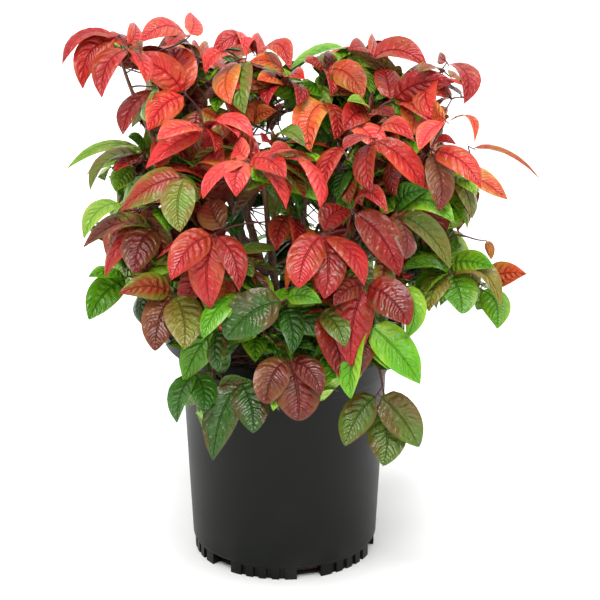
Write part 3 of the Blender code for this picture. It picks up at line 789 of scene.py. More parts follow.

# %% [markdown]
# ## The sprays that show best
# On the real plant three to five leaflets stand round the end of a thin stalk. The front of the
# crown is a portrait, so its sprays are listed one by one: for each, the mass it grows in, the
# pixel of its hub, how far forward it lies in that mass, and for every leaflet the pixel of its
# tip, its apparent width in pixels, its tint and how strongly it arches. Everything else about a
# leaflet follows from its real length: what the picture foreshortens points towards the eye.

# %% Sprays listed one by one
SPRAYS = [
    ("top_left", (119, 35), 0.45, [(62, 65, 18, "crimson", 0.26), (83, 89, 26, "scarlet", 0.24)]),
    ("top_left", (128, 47), 0.60, [
        (102, 98, 24, "crimson", 0.16), (134, 22, 15, "scarlet", 0.08), (110, 32, 14, "crimson", 0.10),
        (146, 84, 15, "scarlet", 0.10), (141, 57, 9, "bronze", 0.20)]),
    ("top_left", (190, 36), 0.10, [
        (138, 44, 20, "coral", 0.22), (191, 12, 18, "coral", 0.08), (168, 46, 12, "crimson", 0.10)]),
    ("top_left", (156, 87), 0.10, [
        (123, 135, 20, "crimson", 0.14), (146, 122, 13, "green", 0.10), (152, 80, 9, "green", 0.10)]),
    ("top_middle_left", (186, 94), 0.70, [
        (129, 58, 30, "scarlet", 0.14), (172, 47, 34, "scarlet", 0.06), (148, 131, 29, "scarlet", 0.12)]),
    ("top_middle_left", (199, 58), -0.10, [
        (158, 47, 10, "bronze", 0.20), (192, 42, 12, "scarlet", 0.06), (208, 42, 14, "orange", 0.06)]),
    ("top_middle_left", (258, 55), 0.20, [
        (211, 57, 19, "crimson", 0.34), (247, 60, 17, "coral", 0.50), (258, 32, 14, "scarlet", 0.05),
        (236, 36, 12, "scarlet", 0.05), (290, 69, 18, "scarlet", 0.36)]),
    ("top_middle_left", (246, 58), 0.55, [(245, 114, 25, "olive", 0.10)]),
    ("top_middle_left", (238, 60), 0.50, [(205, 74, 18, "scarlet", 0.26), (231, 105, 24, "orange", 0.16)]),
    ("top_middle_left", (236, 84), 0.10, [(216, 112, 18, "green", 0.12), (206, 100, 14, "maroon", 0.12)]),
    ("top_middle_left", (285, 85), 0.10, [
        (249, 62, 15, "orange", 0.24), (257, 80, 13, "orange", 0.12), (305, 80, 12, "scarlet", 0.20),
        (268, 106, 14, "crimson", 0.20), (297, 106, 14, "crimson", 0.26)]),
    ("top_middle_left", (253, 125), 0.55, [(262, 95, 19, "orange", 0.12), (277, 111, 17, "orange", 0.12)]),
    ("top_middle_left", (206, 129), 0.95, [
        (254, 139, 17, "coral", 0.26), (239, 138, 12, "coral", 0.16), (145, 169, 25, "coral", 0.07),
        (157, 140, 17, "coral", 0.12), (215, 152, 12, "scarlet", 0.10)]),
    ("top_middle", (351, 48), 0.15, [(290, 70, 14, "green", 0.08)]),
    ("top_middle", (325, 68), 0.40, [
        (305, 61, 14, "scarlet", 0.10), (332, 51, 16, "crimson", 0.10), (363, 98, 29, "orange", 0.16),
        (330, 96, 16, "crimson", 0.10)]),
    ("top_middle", (327, 96), 0.10, [(297, 88, 16, "green", 0.12), (356, 96, 14, "orange", 0.10)]),
    ("top_middle", (324, 100), 0.80, [(311, 152, 31, "orange", 0.16), (334, 140, 18, "scarlet", 0.16)]),
    ("top_right", (370, 57), 0.30, [
        (372, 33, 14, "scarlet", 0.05), (428, 68, 24, "scarlet", 0.20), (348, 50, 14, "crimson", 0.16)]),
    ("top_right", (391, 101), 0.50, [(383, 68, 25, "crimson", 0.10), (455, 82, 27, "crimson", 0.14)]),
    ("top_right", (443, 72), 0.45, [(439, 122, 20, "scarlet", 0.26), (418, 72, 10, "bronze", 0.10)]),
    ("top_right", (447, 62), 0.10, [(439, 53, 9, "scarlet", 0.05), (464, 104, 22, "crimson", 0.22)]),
    ("top_right", (369, 112), 0.60, [
        (344, 131, 26, "crimson", 0.14), (347, 101, 10, "lime", 0.12), (372, 94, 11, "maroon", 0.06),
        (395, 118, 12, "deep", 0.12)]),
    ("top_right", (394, 103), 0.45, [(432, 124, 17, "crimson", 0.14)]),
    ("middle_right", (446, 121), 0.55, [
        (419, 151, 18, "coral", 0.08), (474, 145, 9, "orange", 0.34), (434, 101, 14, "orange", 0.10)]),
    ("middle_right", (373, 138), 0.80, [
        (372, 191, 24, "crimson", 0.10), (423, 191, 24, "scarlet", 0.12), (415, 142, 17, "scarlet", 0.30),
        (344, 150, 12, "crimson", 0.14)]),
    ("middle_right", (396, 152), 0.10, [(396, 196, 20, "deep", 0.10), (412, 176, 16, "olive", 0.10)]),
    ("middle_right", (431, 149), 0.75, [
        (481, 188, 25, "scarlet", 0.14), (439, 212, 26, "maroon", 0.10), (457, 145, 9, "crimson", 0.14)]),
    ("middle", (343, 144), 0.50, [(325, 188, 21, "crimson", 0.12)]),
    ("middle", (352, 166), 0.20, [(350, 206, 22, "bronze", 0.10), (338, 200, 18, "forest", 0.10)]),
    ("middle", (270, 144), 0.40, [(305, 147, 13, "olive", 0.26), (262, 142, 14, "crimson", 0.12)]),
    ("centre", (247, 160), 0.85, [
        (203, 199, 16, "coral", 0.16), (236, 197, 26, "coral", 0.12), (286, 210, 17, "coral", 0.15),
        (240, 138, 20, "coral", 0.10), (286, 178, 24, "scarlet", 0.16)]),
    ("centre", (297, 156), 0.75, [(320, 208, 15, "coral", 0.18), (268, 155, 13, "scarlet", 0.14)]),
    ("right_wing", (468, 146), 0.10, [(545, 186, 9, "orange", 0.13)]),
    ("right_wing", (455, 168), 0.40, [(508, 200, 20, "orange", 0.05)]),
    ("right_wing", (446, 172), 0.60, [(477, 196, 18, "lime", 0.10), (472, 219, 20, "olive", 0.12)]),
    ("right_wing", (440, 200), 0.40, [(467, 231, 9, "lime", 0.18), (462, 222, 20, "green", 0.10)]),
    ("middle_right", (395, 211), 0.35, [
        (450, 269, 25, "olive", 0.12), (455, 224, 22, "green", 0.26), (389, 195, 18, "green", 0.05),
        (428, 190, 20, "forest", 0.14), (405, 259, 18, "maroon", 0.10)]),
    ("lower_right", (448, 272), 0.70, [
        (429, 312, 25, "olive", 0.10), (462, 314, 34, "green", 0.08), (501, 308, 20, "olive", 0.30),
        (402, 270, 14, "green", 0.12), (424, 298, 10, "lime", 0.10)]),
    ("lower_right", (480, 288), 0.35, [(497, 329, 28, "green", 0.16)]),
    ("lower_right", (484, 284), 0.20, [(527, 274, 24, "orange", 0.12)]),
    ("lower_right", (455, 235), 0.30, []),
    ("lower_right", (486, 240), 0.30, [(491, 260, 9, "withered", 0.10)]),
    ("lower_right", (447, 264), 0.50, [(494, 268, 22, "green", 0.08), (463, 243, 18, "green", 0.10)]),
    ("left_side", (147, 150), 0.30, [
        (65, 171, 8, "lime", 0.20), (86, 175, 20, "lime", 0.08),
        (123, 168, 14, "crimson", 0.10), (128, 137, 14, "green", 0.08), (106, 163, 16, "lime", 0.08)]),
    ("left_side", (142, 152), 0.95, [(90, 191, 13, "olive", 0.22)]),
    ("left_side", (146, 160), 0.60, [(114, 172, 14, "coral", 0.10)]),
    ("left_side", (134, 166), 0.30, [(116, 192, 22, "lime", 0.08)]),
    ("middle_left", (185, 175), 0.70, [(119, 212, 30, "bronze", 0.10), (180, 232, 32, "olive", 0.08)]),
    ("middle_left", (124, 202), 0.20, [(84, 239, 22, "lime", 0.18)]),
    ("middle_left", (157, 206), 0.20, [(168, 232, 20, "green", 0.08), (140, 208, 12, "green", 0.10)]),
    ("centre_left", (215, 233), 0.80, [
        (171, 280, 31, "crimson", 0.14), (211, 308, 35, "crimson", 0.10), (239, 292, 25, "crimson", 0.14)]),
    ("centre_left", (224, 230), 0.40, [(212, 198, 30, "maroon", 0.10), (240, 205, 14, "forest", 0.10)]),
    ("centre_left", (291, 214), 0.20, [(277, 251, 22, "deep", 0.10), (293, 250, 18, "crimson", 0.10)]),
    ("lower_left", (158, 226), 0.75, [
        (83, 248, 17, "bronze", 0.18), (105, 277, 20, "crimson", 0.20), (135, 274, 34, "maroon", 0.14)]),
    ("lower_left", (174, 294), 0.85, [
        (118, 294, 26, "bronze", 0.14), (155, 351, 34, "maroon", 0.10), (184, 349, 37, "olive", 0.10)]),
    ("left_low", (150, 284), 0.50, [(141, 324, 18, "forest", 0.08)]),
    ("left_low", (127, 277), 0.60, [(89, 320, 30, "green", 0.10), (88, 277, 14, "green", 0.12)]),
    ("centre_right", (323, 233), 0.85, [
        (299, 288, 33, "crimson", 0.12), (324, 299, 35, "crimson", 0.09), (364, 286, 22, "crimson", 0.16),
        (352, 211, 25, "crimson", 0.20)]),
    ("centre_right", (352, 209), 0.60, [(399, 277, 33, "crimson", 0.12), (388, 214, 16, "crimson", 0.34)]),
    ("front_low", (285, 299), 0.75, [
        (226, 339, 41, "moss", 0.12), (322, 303, 18, "green", 0.14)]),
    ("front_low", (284, 304), 0.30, [(291, 356, 24, "forest", 0.10)]),
    ("front_low", (238, 290), 0.40, [(203, 339, 22, "green", 0.10)]),
    ("front_low", (238, 288), 0.05, [(229, 318, 14, "lime", 0.08)]),
    ("front_right_low", (365, 284), 0.85, [
        (352, 367, 37, "crimson", 0.09), (334, 306, 22, "deep", 0.14), (409, 325, 36, "deep", 0.12)]),
    ("front_right_low", (320, 308), 0.60, [(341, 380, 35, "deep", 0.10), (345, 347, 24, "olive", 0.10)]),
    ("front_right_low", (368, 322), 0.68, [(420, 384, 35, "green", 0.06), (351, 399, 22, "green", 0.10)]),
    ("front_right_low", (400, 282), 0.10, [(406, 339, 24, "green", 0.20)]),
    ("hanging_front", (288, 358), 0.80, [
        (266, 404, 33, "maroon", 0.14), (298, 421, 44, "maroon", 0.08), (321, 395, 24, "maroon", 0.18)]),
    ("hanging_front", (268, 378), 0.30, [(273, 411, 16, "lime", 0.08)]),
    ("hanging_left", (240, 380), 0.80, [(213, 461, 34, "moss", 0.09), (253, 433, 33, "moss", 0.10)]),
    ("hanging_left", (223, 322), 0.50, [(184, 383, 31, "green", 0.10), (219, 372, 22, "moss", 0.10)]),
    ("hanging_left", (195, 372), 0.30, [(177, 423, 22, "forest", 0.10), (203, 414, 26, "forest", 0.10)]),
    ("hanging_right", (378, 393), 0.70, [
        (345, 446, 31, "olive", 0.10), (419, 447, 34, "olive", 0.07)]),
    ("hanging_right", (380, 399), -0.10, [(383, 466, 38, "olive", 0.09)]),
]
print(len(SPRAYS), "sprays by hand with", sum(len(spray[3]) for spray in SPRAYS), "leaflets")

# %% [markdown]
# ## Placing the listed sprays
# A leaflet is about 64 mm long. Where it looks shorter, the rest of its length lies along the line
# of sight, and it is taken to point towards the eye. Where it looks narrower than it is, it is
# turned about its own length, with its upper side towards the sky.

# %% Leaflets of the sprays
LEAF_LENGTH = 0.064
LEAF_BREADTH = 0.46
THIN_BREADTH = 0.28
THIN_PIXELS = 9
FOLD_LOSS = 1.08
STALKLET = 0.06
MOST_FORESHORTENED = 0.62
MOST_ROLL = math.radians(60)
UPRIGHT = 0.6
SIDEWAYS = 0.01
ROLL_CHANCE = 0.16
FRONT_LIMIT = cad_low.y - 0.010

leaf_heaps = {name: Heap("leaves_" + name) for name in TINTS}
hubs = {mass: [] for mass in MASSES}
portrait = []
stalklets = []


def rolled(axis, outward, apparent, rng):
    """The way the upper side faces, and the way the blade bows, from how much of the width shows."""
    to_eye = -view_forward
    flat = (to_eye - axis * to_eye.dot(axis)).normalized()
    edge = flat.cross(axis).normalized()
    if edge.dot(UP + outward * 0.7) < 0.0:
        edge = -edge
    roll = min(math.acos(min(apparent, 1.0)), MOST_ROLL) + rng.uniform(0.0, ROLL_CHANCE)
    facing = flat * math.cos(roll) + edge * math.sin(roll)
    if axis.dot(view_up) > UPRIGHT:
        facing = UP - axis * axis.z - view_forward * 0.3
        return facing, facing
    return facing, edge + facing * 0.5


def place_leaflet(mass, hub, pixels, apparent_width, tint, arch, rng):
    """One listed leaflet, from its hub to the pixel of its tip."""
    depth = view_depth(hub)
    level = place_at(pixels, depth)
    seen = level - hub
    length = seen.length
    if tint != "withered":
        length = max(LEAF_LENGTH * rng.uniform(0.92, 1.06), length)
    hidden = min(math.sqrt(length ** 2 - seen.length ** 2), MOST_FORESHORTENED * length)
    if seen.dot(view_up) > UPRIGHT * seen.length:
        hidden = -hidden
    room = (level.y - FRONT_LIMIT) / view_forward.y
    chord = place_at(pixels, depth - min(hidden, room)) - hub
    shown = FOLD_LOSS * apparent_width * depth / PIXEL_FOCAL
    breadth = LEAF_BREADTH if apparent_width > THIN_PIXELS else THIN_BREADTH
    width = max(shown, breadth * chord.length * rng.uniform(0.86, 1.0))
    outward = Vector((math.copysign(min(abs(seen.x) / SIDEWAYS, 1.0), seen.x), 0.0, 0.0))
    facing, bow = rolled(chord.normalized(), outward, shown / width, rng)
    base = hub + chord * STALKLET
    stalklets.append((hub, base))
    portrait.append((mass, tint, leaf_points(base, hub + chord, facing, bow, width, arch, rng)))


rng = random.Random(11)
for mass, hub_pixel, forward, leaflets in SPRAYS:
    centre, reach, _ = MASSES[mass]
    hub = place_at(hub_pixel, view_depth(Vector(centre)) - forward * reach[1])
    hubs[mass].append(hub)
    for column, row, apparent_width, tint, arch in leaflets:
        place_leaflet(mass, hub, (column, row), apparent_width, tint, arch, rng)
print(len(portrait), "leaflets placed by hand")

# %% [markdown]
# ## What may grow between them
# The rest of the crown grows by rule, but it may not hide a listed spray, and it may not close a
# gap through which the background shows. Two coarse maps of the picture hold that: how near the
# nearest listed leaflet is in each cell, and which cells belong to the crown. The crown's map is
# a drawn outline, less a circle for each gap. In most gaps the background shows, and in the last
# two it is the lip of the pot.

# %% Coarse maps of the picture
CELL = 5
CELLS = IMAGE_SIDE // CELL
CROWN_OUTLINE = [
    (104, 44), (128, 24), (138, 44), (166, 40), (192, 20), (202, 48), (240, 38), (284, 42), (302, 60),
    (328, 48), (366, 46), (376, 36), (402, 42), (428, 64), (442, 56), (464, 64), (474, 86), (466, 106),
    (452, 114), (444, 124), (452, 144), (468, 150), (474, 168), (482, 186), (478, 202),
    (468, 228), (460, 242), (468, 252), (492, 262), (500, 274), (506, 306), (497, 322), (480, 312),
    (440, 308), (418, 312), (406, 340), (416, 380), (394, 376), (368, 370), (352, 396), (326, 392),
    (316, 408), (297, 418), (272, 412), (254, 430), (238, 430), (214, 456), (202, 436), (196, 416),
    (176, 420), (174, 398), (188, 372), (188, 350), (158, 348), (146, 330), (146, 300), (122, 298),
    (92, 316), (94, 300), (122, 280), (92, 276), (92, 266), (104, 258), (104, 240), (86, 236),
    (88, 214), (118, 202), (116, 184), (92, 182), (92, 172), (106, 162), (112, 150), (146, 146),
    (152, 130), (124, 128), (128, 110), (144, 94), (146, 84), (134, 70), (112, 66), (96, 84),
    (84, 66),
]
SKY_GAPS = [
    (255, 222, 15), (311, 214, 8), (258, 134, 6), (285, 128, 8), (294, 118, 6), (308, 75, 9),
    (277, 57, 8), (254, 58, 5), (228, 104, 4), (213, 101, 6), (195, 97, 3), (190, 174, 4), (159, 209, 4),
    (456, 106, 7), (172, 234, 4), (397, 61, 7), (410, 60, 7), (447, 72, 5), (436, 95, 5), (391, 109, 6),
    (409, 181, 5), (452, 132, 6), (463, 134, 6), (259, 154, 4), (327, 198, 4), (240, 360, 12),
    (253, 373, 8),
]


def inside_outline(columns, rows, corners):
    """Which places lie inside a closed outline."""
    inside = np.zeros(np.broadcast(columns, rows).shape, bool)
    for (x0, y0), (x1, y1) in zip(corners, corners[1:] + corners[:1]):
        if y0 != y1:
            crosses = (y0 > rows) != (y1 > rows)
            inside ^= crosses & (columns < (x1 - x0) * (rows - y0) / (y1 - y0) + x0)
    return inside


cell_middle = (np.arange(CELLS) + 0.5) * CELL
crown = inside_outline(cell_middle[None, :], cell_middle[:, None], CROWN_OUTLINE)
for column, row, radius in SKY_GAPS:
    crown &= (cell_middle[None, :] - column) ** 2 + (cell_middle[:, None] - row) ** 2 >= radius ** 2
nearest = np.full((CELLS, CELLS), np.inf)
covered = np.zeros((CELLS, CELLS), bool)


def cells_of(points):
    """The map cell and the depth of each place."""
    columns, rows, depth = pixels_of(points)
    column_cells = np.clip((columns // CELL).astype(int), 0, CELLS - 1)
    row_cells = np.clip((rows // CELL).astype(int), 0, CELLS - 1)
    return row_cells, column_cells, depth


for _, _, points in portrait:
    cell_rows, cell_columns, depth = cells_of(points)
    np.minimum.at(nearest, (cell_rows, cell_columns), depth)
    covered[cell_rows, cell_columns] = True
print(int(crown.sum()), "cells belong to the crown,", int((crown & ~covered).sum()), "are still open")

# %% [markdown]
# ## The sprays that grow by rule
# Each mass sends out sprays from its inside towards its skin, at random but from a fixed seed. A
# spray opens three to five leaflets round its own direction, and gravity bends each of them down.
# A leaflet is kept if the maps allow it, if it stays near its mass, and if it is clear of the pot.
# The tint is dealt out by spray: reds towards the light, greens and bronzes inside and below. The
# masses of the back get more sprays, because no listed spray is placed there.

# %% Tints by place
OUTER_TINTS = {
    "red": (("crimson", 5), ("scarlet", 4), ("coral", 1), ("maroon", 3), ("orange", 2), ("bronze", 3)),
    "bronze": (("bronze", 4), ("maroon", 3), ("olive", 3), ("crimson", 2), ("green", 3)),
    "green": (("green", 8), ("moss", 2), ("lime", 1), ("olive", 2), ("forest", 2)),
}
INNER_TINTS = {
    "red": (("olive", 5), ("bronze", 4), ("green", 3), ("forest", 2), ("maroon", 2), ("deep", 1),
            ("orange", 1)),
    "bronze": (("forest", 2), ("green", 6), ("lime", 3), ("olive", 2), ("maroon", 1)),
    "green": (("forest", 3), ("green", 8), ("moss", 2), ("lime", 1)),
}


def deal_tint(kind, exposure, rng):
    """A tint for a spray: the more exposed it is, the likelier it comes from the outer list."""
    table = OUTER_TINTS[kind] if rng.random() < exposure else INNER_TINTS[kind]
    names, weights = zip(*table)
    return rng.choices(names, weights)[0]


# %% What a leaflet may touch
POT_REACH = 0.121
POT_TOP = 0.236
CROWN_FOOT = 0.06
CROWN_LOW = np.array(cad_low - Vector((0.010, 0.010, -CROWN_FOOT)))
CROWN_HIGH = np.array(cad_high + Vector((0.010, 0.010, 0.006)))
MOST_OUTSIDE = 0.05
CLOSE_BEHIND = 0.002


def may_grow(points, centre, reach, stray):
    """True if a leaflet hides nothing that it may not and stays where its mass is."""
    if (points < CROWN_LOW).any() or (points > CROWN_HIGH).any():
        return False
    if ((np.hypot(points[:, 0], points[:, 1]) < POT_REACH) & (points[:, 2] < POT_TOP)).any():
        return False
    if np.linalg.norm((points - np.array(centre)) / np.array(reach), axis=1).max() > stray:
        return False
    cell_rows, cell_columns, depth = cells_of(points)
    hand_placed = nearest[cell_rows, cell_columns]
    hides = (depth < hand_placed - CLOSE_BEHIND) & np.isfinite(hand_placed)
    return (~crown[cell_rows, cell_columns]).mean() <= MOST_OUTSIDE and not hides.any()


# %% One spray
DROOP = 0.55
GREEN_BELOW = 0.285


def random_direction(rng):
    """A direction with no preferred side."""
    return Vector((rng.gauss(0, 1), rng.gauss(0, 1), rng.gauss(0, 1))).normalized()


def grow_spray(mass, hub, stray, rng):
    """The leaflets round one hub, those that may grow."""
    centre, reach, kind = MASSES[mass]
    hub_row, hub_column, _ = cells_of(np.array([hub]))
    if not crown[hub_row[0], hub_column[0]]:
        return []
    offset = hub - Vector(centre)
    share = Vector([offset[axis] / reach[axis] for axis in range(3)]).length
    outward = (offset.normalized() + random_direction(rng) * 0.3).normalized()
    lean = (outward + UP * 0.25).normalized()
    side = lean.cross(UP).normalized() if abs(lean.z) < 0.95 else Vector((1.0, 0.0, 0.0))
    over = side.cross(lean)
    count = rng.choice((3, 3, 4, 5))
    turn = rng.uniform(0.0, 2 * math.pi)
    kind = "green" if hub.z < GREEN_BELOW else kind
    tint = deal_tint(kind, 0.10 + 0.80 * share + 0.3 * max(outward.z, 0.0), rng)
    grown = []
    for leaflet in range(count):
        angle = turn + 2 * math.pi * leaflet / count + rng.uniform(-0.25, 0.25)
        opening = rng.uniform(0.7, 1.35)
        round_about = side * math.cos(angle) + over * math.sin(angle)
        axis = lean * math.cos(opening) + round_about * math.sin(opening)
        axis = (axis - UP * rng.uniform(0.3, 1.0) * DROOP).normalized()
        length = LEAF_LENGTH * rng.uniform(0.74, 1.02)
        facing = UP * 0.9 + outward * 0.6 + random_direction(rng) * 0.25
        width = length * rng.uniform(0.40, 0.54)
        base = hub + axis * length * STALKLET
        points = leaf_points(base, hub + axis * length, facing, UP + facing * 0.3, width,
                             rng.uniform(0.08, 0.22), rng)
        if may_grow(points, centre, reach, stray):
            grown.append((mass, tint, points, base))
    return grown


def keep_spray(mass, hub, grown):
    """Add a spray to the crown and to the map of what is covered."""
    hubs[mass].append(hub)
    for _, tint, points, base in grown:
        grown_leaflets.append((mass, tint, points))
        stalklets.append((hub, base))
        cell_rows, cell_columns, _ = cells_of(points)
        covered[cell_rows, cell_columns] = True


# %% Grow each mass
FRONT_SPRAYS = 16
BACK_SPRAYS = 30
BACK_FROM = 0.02
TRIES_PER_MASS = 500
STRAY = 1.45
grown_leaflets = []
for index, (mass, (centre, reach, _)) in enumerate(MASSES.items()):
    rng = random.Random(500 + index)
    wanted = BACK_SPRAYS if centre[1] > BACK_FROM else FRONT_SPRAYS
    kept = 0
    for _ in range(TRIES_PER_MASS):
        outward = random_direction(rng) + flat_offset(Vector(centre), Vector()).normalized() * 0.35
        share = rng.uniform(0.15, 0.85)
        hub = Vector([centre[axis] + outward[axis] * reach[axis] * share for axis in range(3)])
        grown = grow_spray(mass, hub, STRAY, rng)
        if len(grown) >= 2:
            keep_spray(mass, hub, grown)
            kept += 1
        if kept == wanted:
            break
print(len(grown_leaflets), "leaflets grown by rule,", int((crown & ~covered).sum()), "cells still open")

# %% [markdown]
# ## Closing what should be closed
# Growth at random leaves holes where the real crown is dense. So further sprays are aimed: each
# starts near a cell of the crown that is still open, in one of the masses that lie there, a little
# behind the middle of that mass. Only those of its leaflets are kept that cover open cells, or the
# same place would fill up like a tuft of grass.

# %% Aimed sprays
AIMED_TRIES = 4500
LEAST_NEW = 0.04
AIMED_STRAY = 1.7
mass_pixels = {}
for mass, (centre, reach, _) in MASSES.items():
    columns, rows, depth = pixels_of(np.array([centre]))
    tall = math.hypot(reach[2] * view_up.z, reach[1] * view_up.y)
    scale = PIXEL_FOCAL / depth[0]
    mass_pixels[mass] = columns[0], rows[0], reach[0] * scale, tall * scale, depth[0]


def closeness(mass, column, row):
    """How near a pixel is to the middle of a mass, in shares of its size."""
    middle_column, middle_row, wide, tall, _ = mass_pixels[mass]
    return math.hypot((column - middle_column) / wide, (row - middle_row) / tall)


def closes_a_gap(points):
    """True if a leaflet covers at least a few cells that are still open."""
    cell_rows, cell_columns, _ = cells_of(points)
    return (crown & ~covered)[cell_rows, cell_columns].mean() > LEAST_NEW


rng = random.Random(900)
for _ in range(AIMED_TRIES):
    open_rows, open_columns = np.nonzero(crown & ~covered)
    if len(open_rows) == 0:
        break
    pick = rng.randrange(len(open_rows))
    column = cell_middle[open_columns[pick]] + rng.uniform(-16, 16)
    row = cell_middle[open_rows[pick]] - rng.uniform(-6, 24)
    candidates = sorted(MASSES, key=lambda name: closeness(name, column, row))[:3]
    mass = rng.choice(candidates)
    hub = place_at((column, row), mass_pixels[mass][4] + rng.uniform(-0.3, 0.9) * MASSES[mass][1][1])
    grown = grow_spray(mass, hub, AIMED_STRAY, rng)
    useful = [leaflet for leaflet in grown if closes_a_gap(leaflet[2])]
    if useful:
        keep_spray(mass, hub, useful)
print(len(grown_leaflets), "leaflets grown,", int((crown & ~covered).sum()), "cells still open")

# %% Leaf pieces
rng = random.Random(77)
for mass, tint, points in portrait + grown_leaflets:
    tone = min(max(rng.gauss(0.5, 0.22), 0.0), 1.0)
    leaf_heaps[tint].add(leaf_template, points, tone, "foliage_" + mass)
for name, heap in leaf_heaps.items():
    heap.build(leaf_materials[name], "foliage_" + TINTS[name].kind)

# %% [markdown]
# ## Leaf stalks
# Every spray hangs on a wiry red-brown stalk that comes from its cane or bough. Drawing each one
# from the bough would give a wheel of spokes. A plant branches instead, so the hubs are taken from
# the nearest outwards, and each stalk starts at the nearest point of what has already grown.

# %% Stalks
STALK_RINGS = 9
STALK_TUBE = tube_template(6, STALK_RINGS)
STALKLET_TUBE = tube_template(5, 2)
STALK_RADII = (0.00100, 0.00062)
STALKLET_RADII = (0.00062, 0.00050)
stalks = Heap("leaf_stalks")


def tapered(radii):
    """A radius that goes evenly from one value to another."""
    return lambda angle, share: radii[0] + (radii[1] - radii[0]) * share


def add_stalk(start, end, sag, radii):
    """A stalk that leaves upwards and outwards and arrives from below."""
    way = end - start
    first = start + way * 0.35 + UP * (0.10 * way.length)
    second = end - way * 0.30 - UP * (sag * way.length)
    route = bezier((start, first, second, end), STALK_RINGS)
    stalks.add(STALK_TUBE, tube_points(STALK_TUBE, route, tapered(radii)), 0.5)
    return route


for mass in MASSES:
    rng = random.Random(mass)
    route = routes[mass]
    grown = route[len(route) // 2:]
    waiting = sorted(hubs[mass], key=lambda hub: (hub - Vector(MASSES[mass][0])).length)
    for hub in waiting:
        start = min(grown, key=lambda point: (point - hub).length + 0.25 * max(point.z - hub.z, 0.0))
        grown.extend(add_stalk(start, hub, rng.uniform(0.0, 0.14), STALK_RADII)[3:])
for hub, base in stalklets:
    route = [hub, base, base + (base - hub) * 0.8]
    stalks.add(STALKLET_TUBE, tube_points(STALKLET_TUBE, route, tapered(STALKLET_RADII)), 0.5)

# %% [markdown]
# ## Dried stalks
# Old leaf stalks stay on the canes when their leaflets have fallen, and cross one another as fine
# dark lines where the crown is open. Chance would seldom put one in a gap, so a few are listed one
# by one. Each starts at the point of a stem that lies nearest to one pixel and ends at another
# pixel, at the depth of that stem.

# %% Dried stalks
DRIED_RADII = (0.00080, 0.00055)
DRIED_SAG = 0.02
DRIED_STALKS = [
    ((250, 212), (265, 208)), ((249, 211), (270, 217)), ((247, 210), (266, 233)),
    ((251, 218), (270, 227)), ((250, 224), (262, 236)), ((252, 206), (254, 214)),
    ((304, 224), (318, 206)), ((305, 212), (317, 223)), ((307, 204), (318, 214)),
    ((304, 218), (312, 228)), ((282, 112), (292, 136)), ((292, 112), (280, 132)),
    ((281, 124), (296, 130)),
]
stem_points = [point for route in routes.values() for point in route]
stem_columns, stem_rows, _ = pixels_of(np.array([tuple(point) for point in stem_points]))
for (column, row), end_pixel in DRIED_STALKS:
    start = stem_points[int(np.argmin(np.hypot(stem_columns - column, stem_rows - row)))]
    add_stalk(start, place_at(end_pixel, view_depth(start)), DRIED_SAG, DRIED_RADII)
stalks.build(stalk_skin, "cane_bark")

# %% [markdown]
# ## The pot
# The pot is blow-moulded black plastic: a flat lip band, a stepped collar, a long taper and a
# notched ring at the foot with six drain slots. Its outline is turned with the spin operator, with
# the moulded edges rounded, and the notches are cut with a Boolean, as a mould would leave them.

# %% Pot outline
POT_HEIGHT = 0.228
LIP_RADIUS = 0.1145
LIP_BAND = 0.012
COLLAR_TOP_RADIUS = 0.1030
COLLAR_FOOT_RADIUS = 0.1005
COLLAR_FOOT_HEIGHT = 0.189
BODY_TOP_RADIUS = 0.0974
BODY_FOOT_RADIUS = 0.0885
WALL = 0.0022
EDGE = 0.0012
RING_HEIGHT = 0.013
RING_RADIUS = 0.0868
RING_INNER_RADIUS = 0.0780
POT_FLOOR = 0.0030
POT_TURNS = 144
MOULDED_EDGE = 0.0008


def rounded(before, corner, after, radius, steps=4):
    """The points of a corner rounded off between its two neighbours."""
    corner = Vector(corner)
    entry = corner + (Vector(before) - corner).normalized() * radius
    leave = corner + (Vector(after) - corner).normalized() * radius
    points = []
    for step in range(steps + 1):
        t = step / steps
        points.append(entry * (1 - t) ** 2 + corner * 2 * t * (1 - t) + leave * t * t)
    return points


pot_corners = [
    (0.0, POT_FLOOR), (RING_INNER_RADIUS, POT_FLOOR), (RING_INNER_RADIUS, RING_HEIGHT + POT_FLOOR),
    (BODY_FOOT_RADIUS - WALL, RING_HEIGHT + 3 * POT_FLOOR), (BODY_TOP_RADIUS - WALL, COLLAR_FOOT_HEIGHT),
    (COLLAR_TOP_RADIUS - WALL, POT_HEIGHT - LIP_BAND), (LIP_RADIUS - WALL - EDGE, POT_HEIGHT),
    (LIP_RADIUS, POT_HEIGHT), (LIP_RADIUS, POT_HEIGHT - LIP_BAND),
    (COLLAR_TOP_RADIUS, POT_HEIGHT - LIP_BAND - EDGE), (COLLAR_FOOT_RADIUS, COLLAR_FOOT_HEIGHT),
    (BODY_TOP_RADIUS, COLLAR_FOOT_HEIGHT - EDGE), (BODY_FOOT_RADIUS, RING_HEIGHT + EDGE),
    (RING_RADIUS, RING_HEIGHT), (RING_RADIUS, 0.0), (0.0, 0.0),
]
pot_profile = [Vector(pot_corners[0])]
for before, corner, after in zip(pot_corners, pot_corners[1:], pot_corners[2:]):
    pot_profile.extend(rounded(before, corner, after, MOULDED_EDGE))
pot_profile.append(Vector(pot_corners[-1]))
print("the pot's outline has", len(pot_profile), "points")

# %% Turned pieces
WELD = 0.00002


def turned_mesh(profile, steps):
    """A closed shape turned from an outline of (radius, height) points."""
    shape = bmesh.new()
    verts = [shape.verts.new((radius, 0.0, height)) for radius, height in profile]
    edges = [shape.edges.new(pair) for pair in zip(verts, verts[1:])]
    bmesh.ops.spin(shape, geom=verts + edges, cent=(0, 0, 0), axis=(0, 0, 1),
                   angle=2 * math.pi, steps=steps, use_merge=True)
    bmesh.ops.remove_doubles(shape, verts=shape.verts, dist=WELD)
    bmesh.ops.recalc_face_normals(shape, faces=shape.faces)
    return shape


def mesh_from(name, shape):
    """A mesh from a bmesh, which is then freed."""
    mesh = bpy.data.meshes.new(name)
    shape.to_mesh(mesh)
    shape.free()
    return mesh


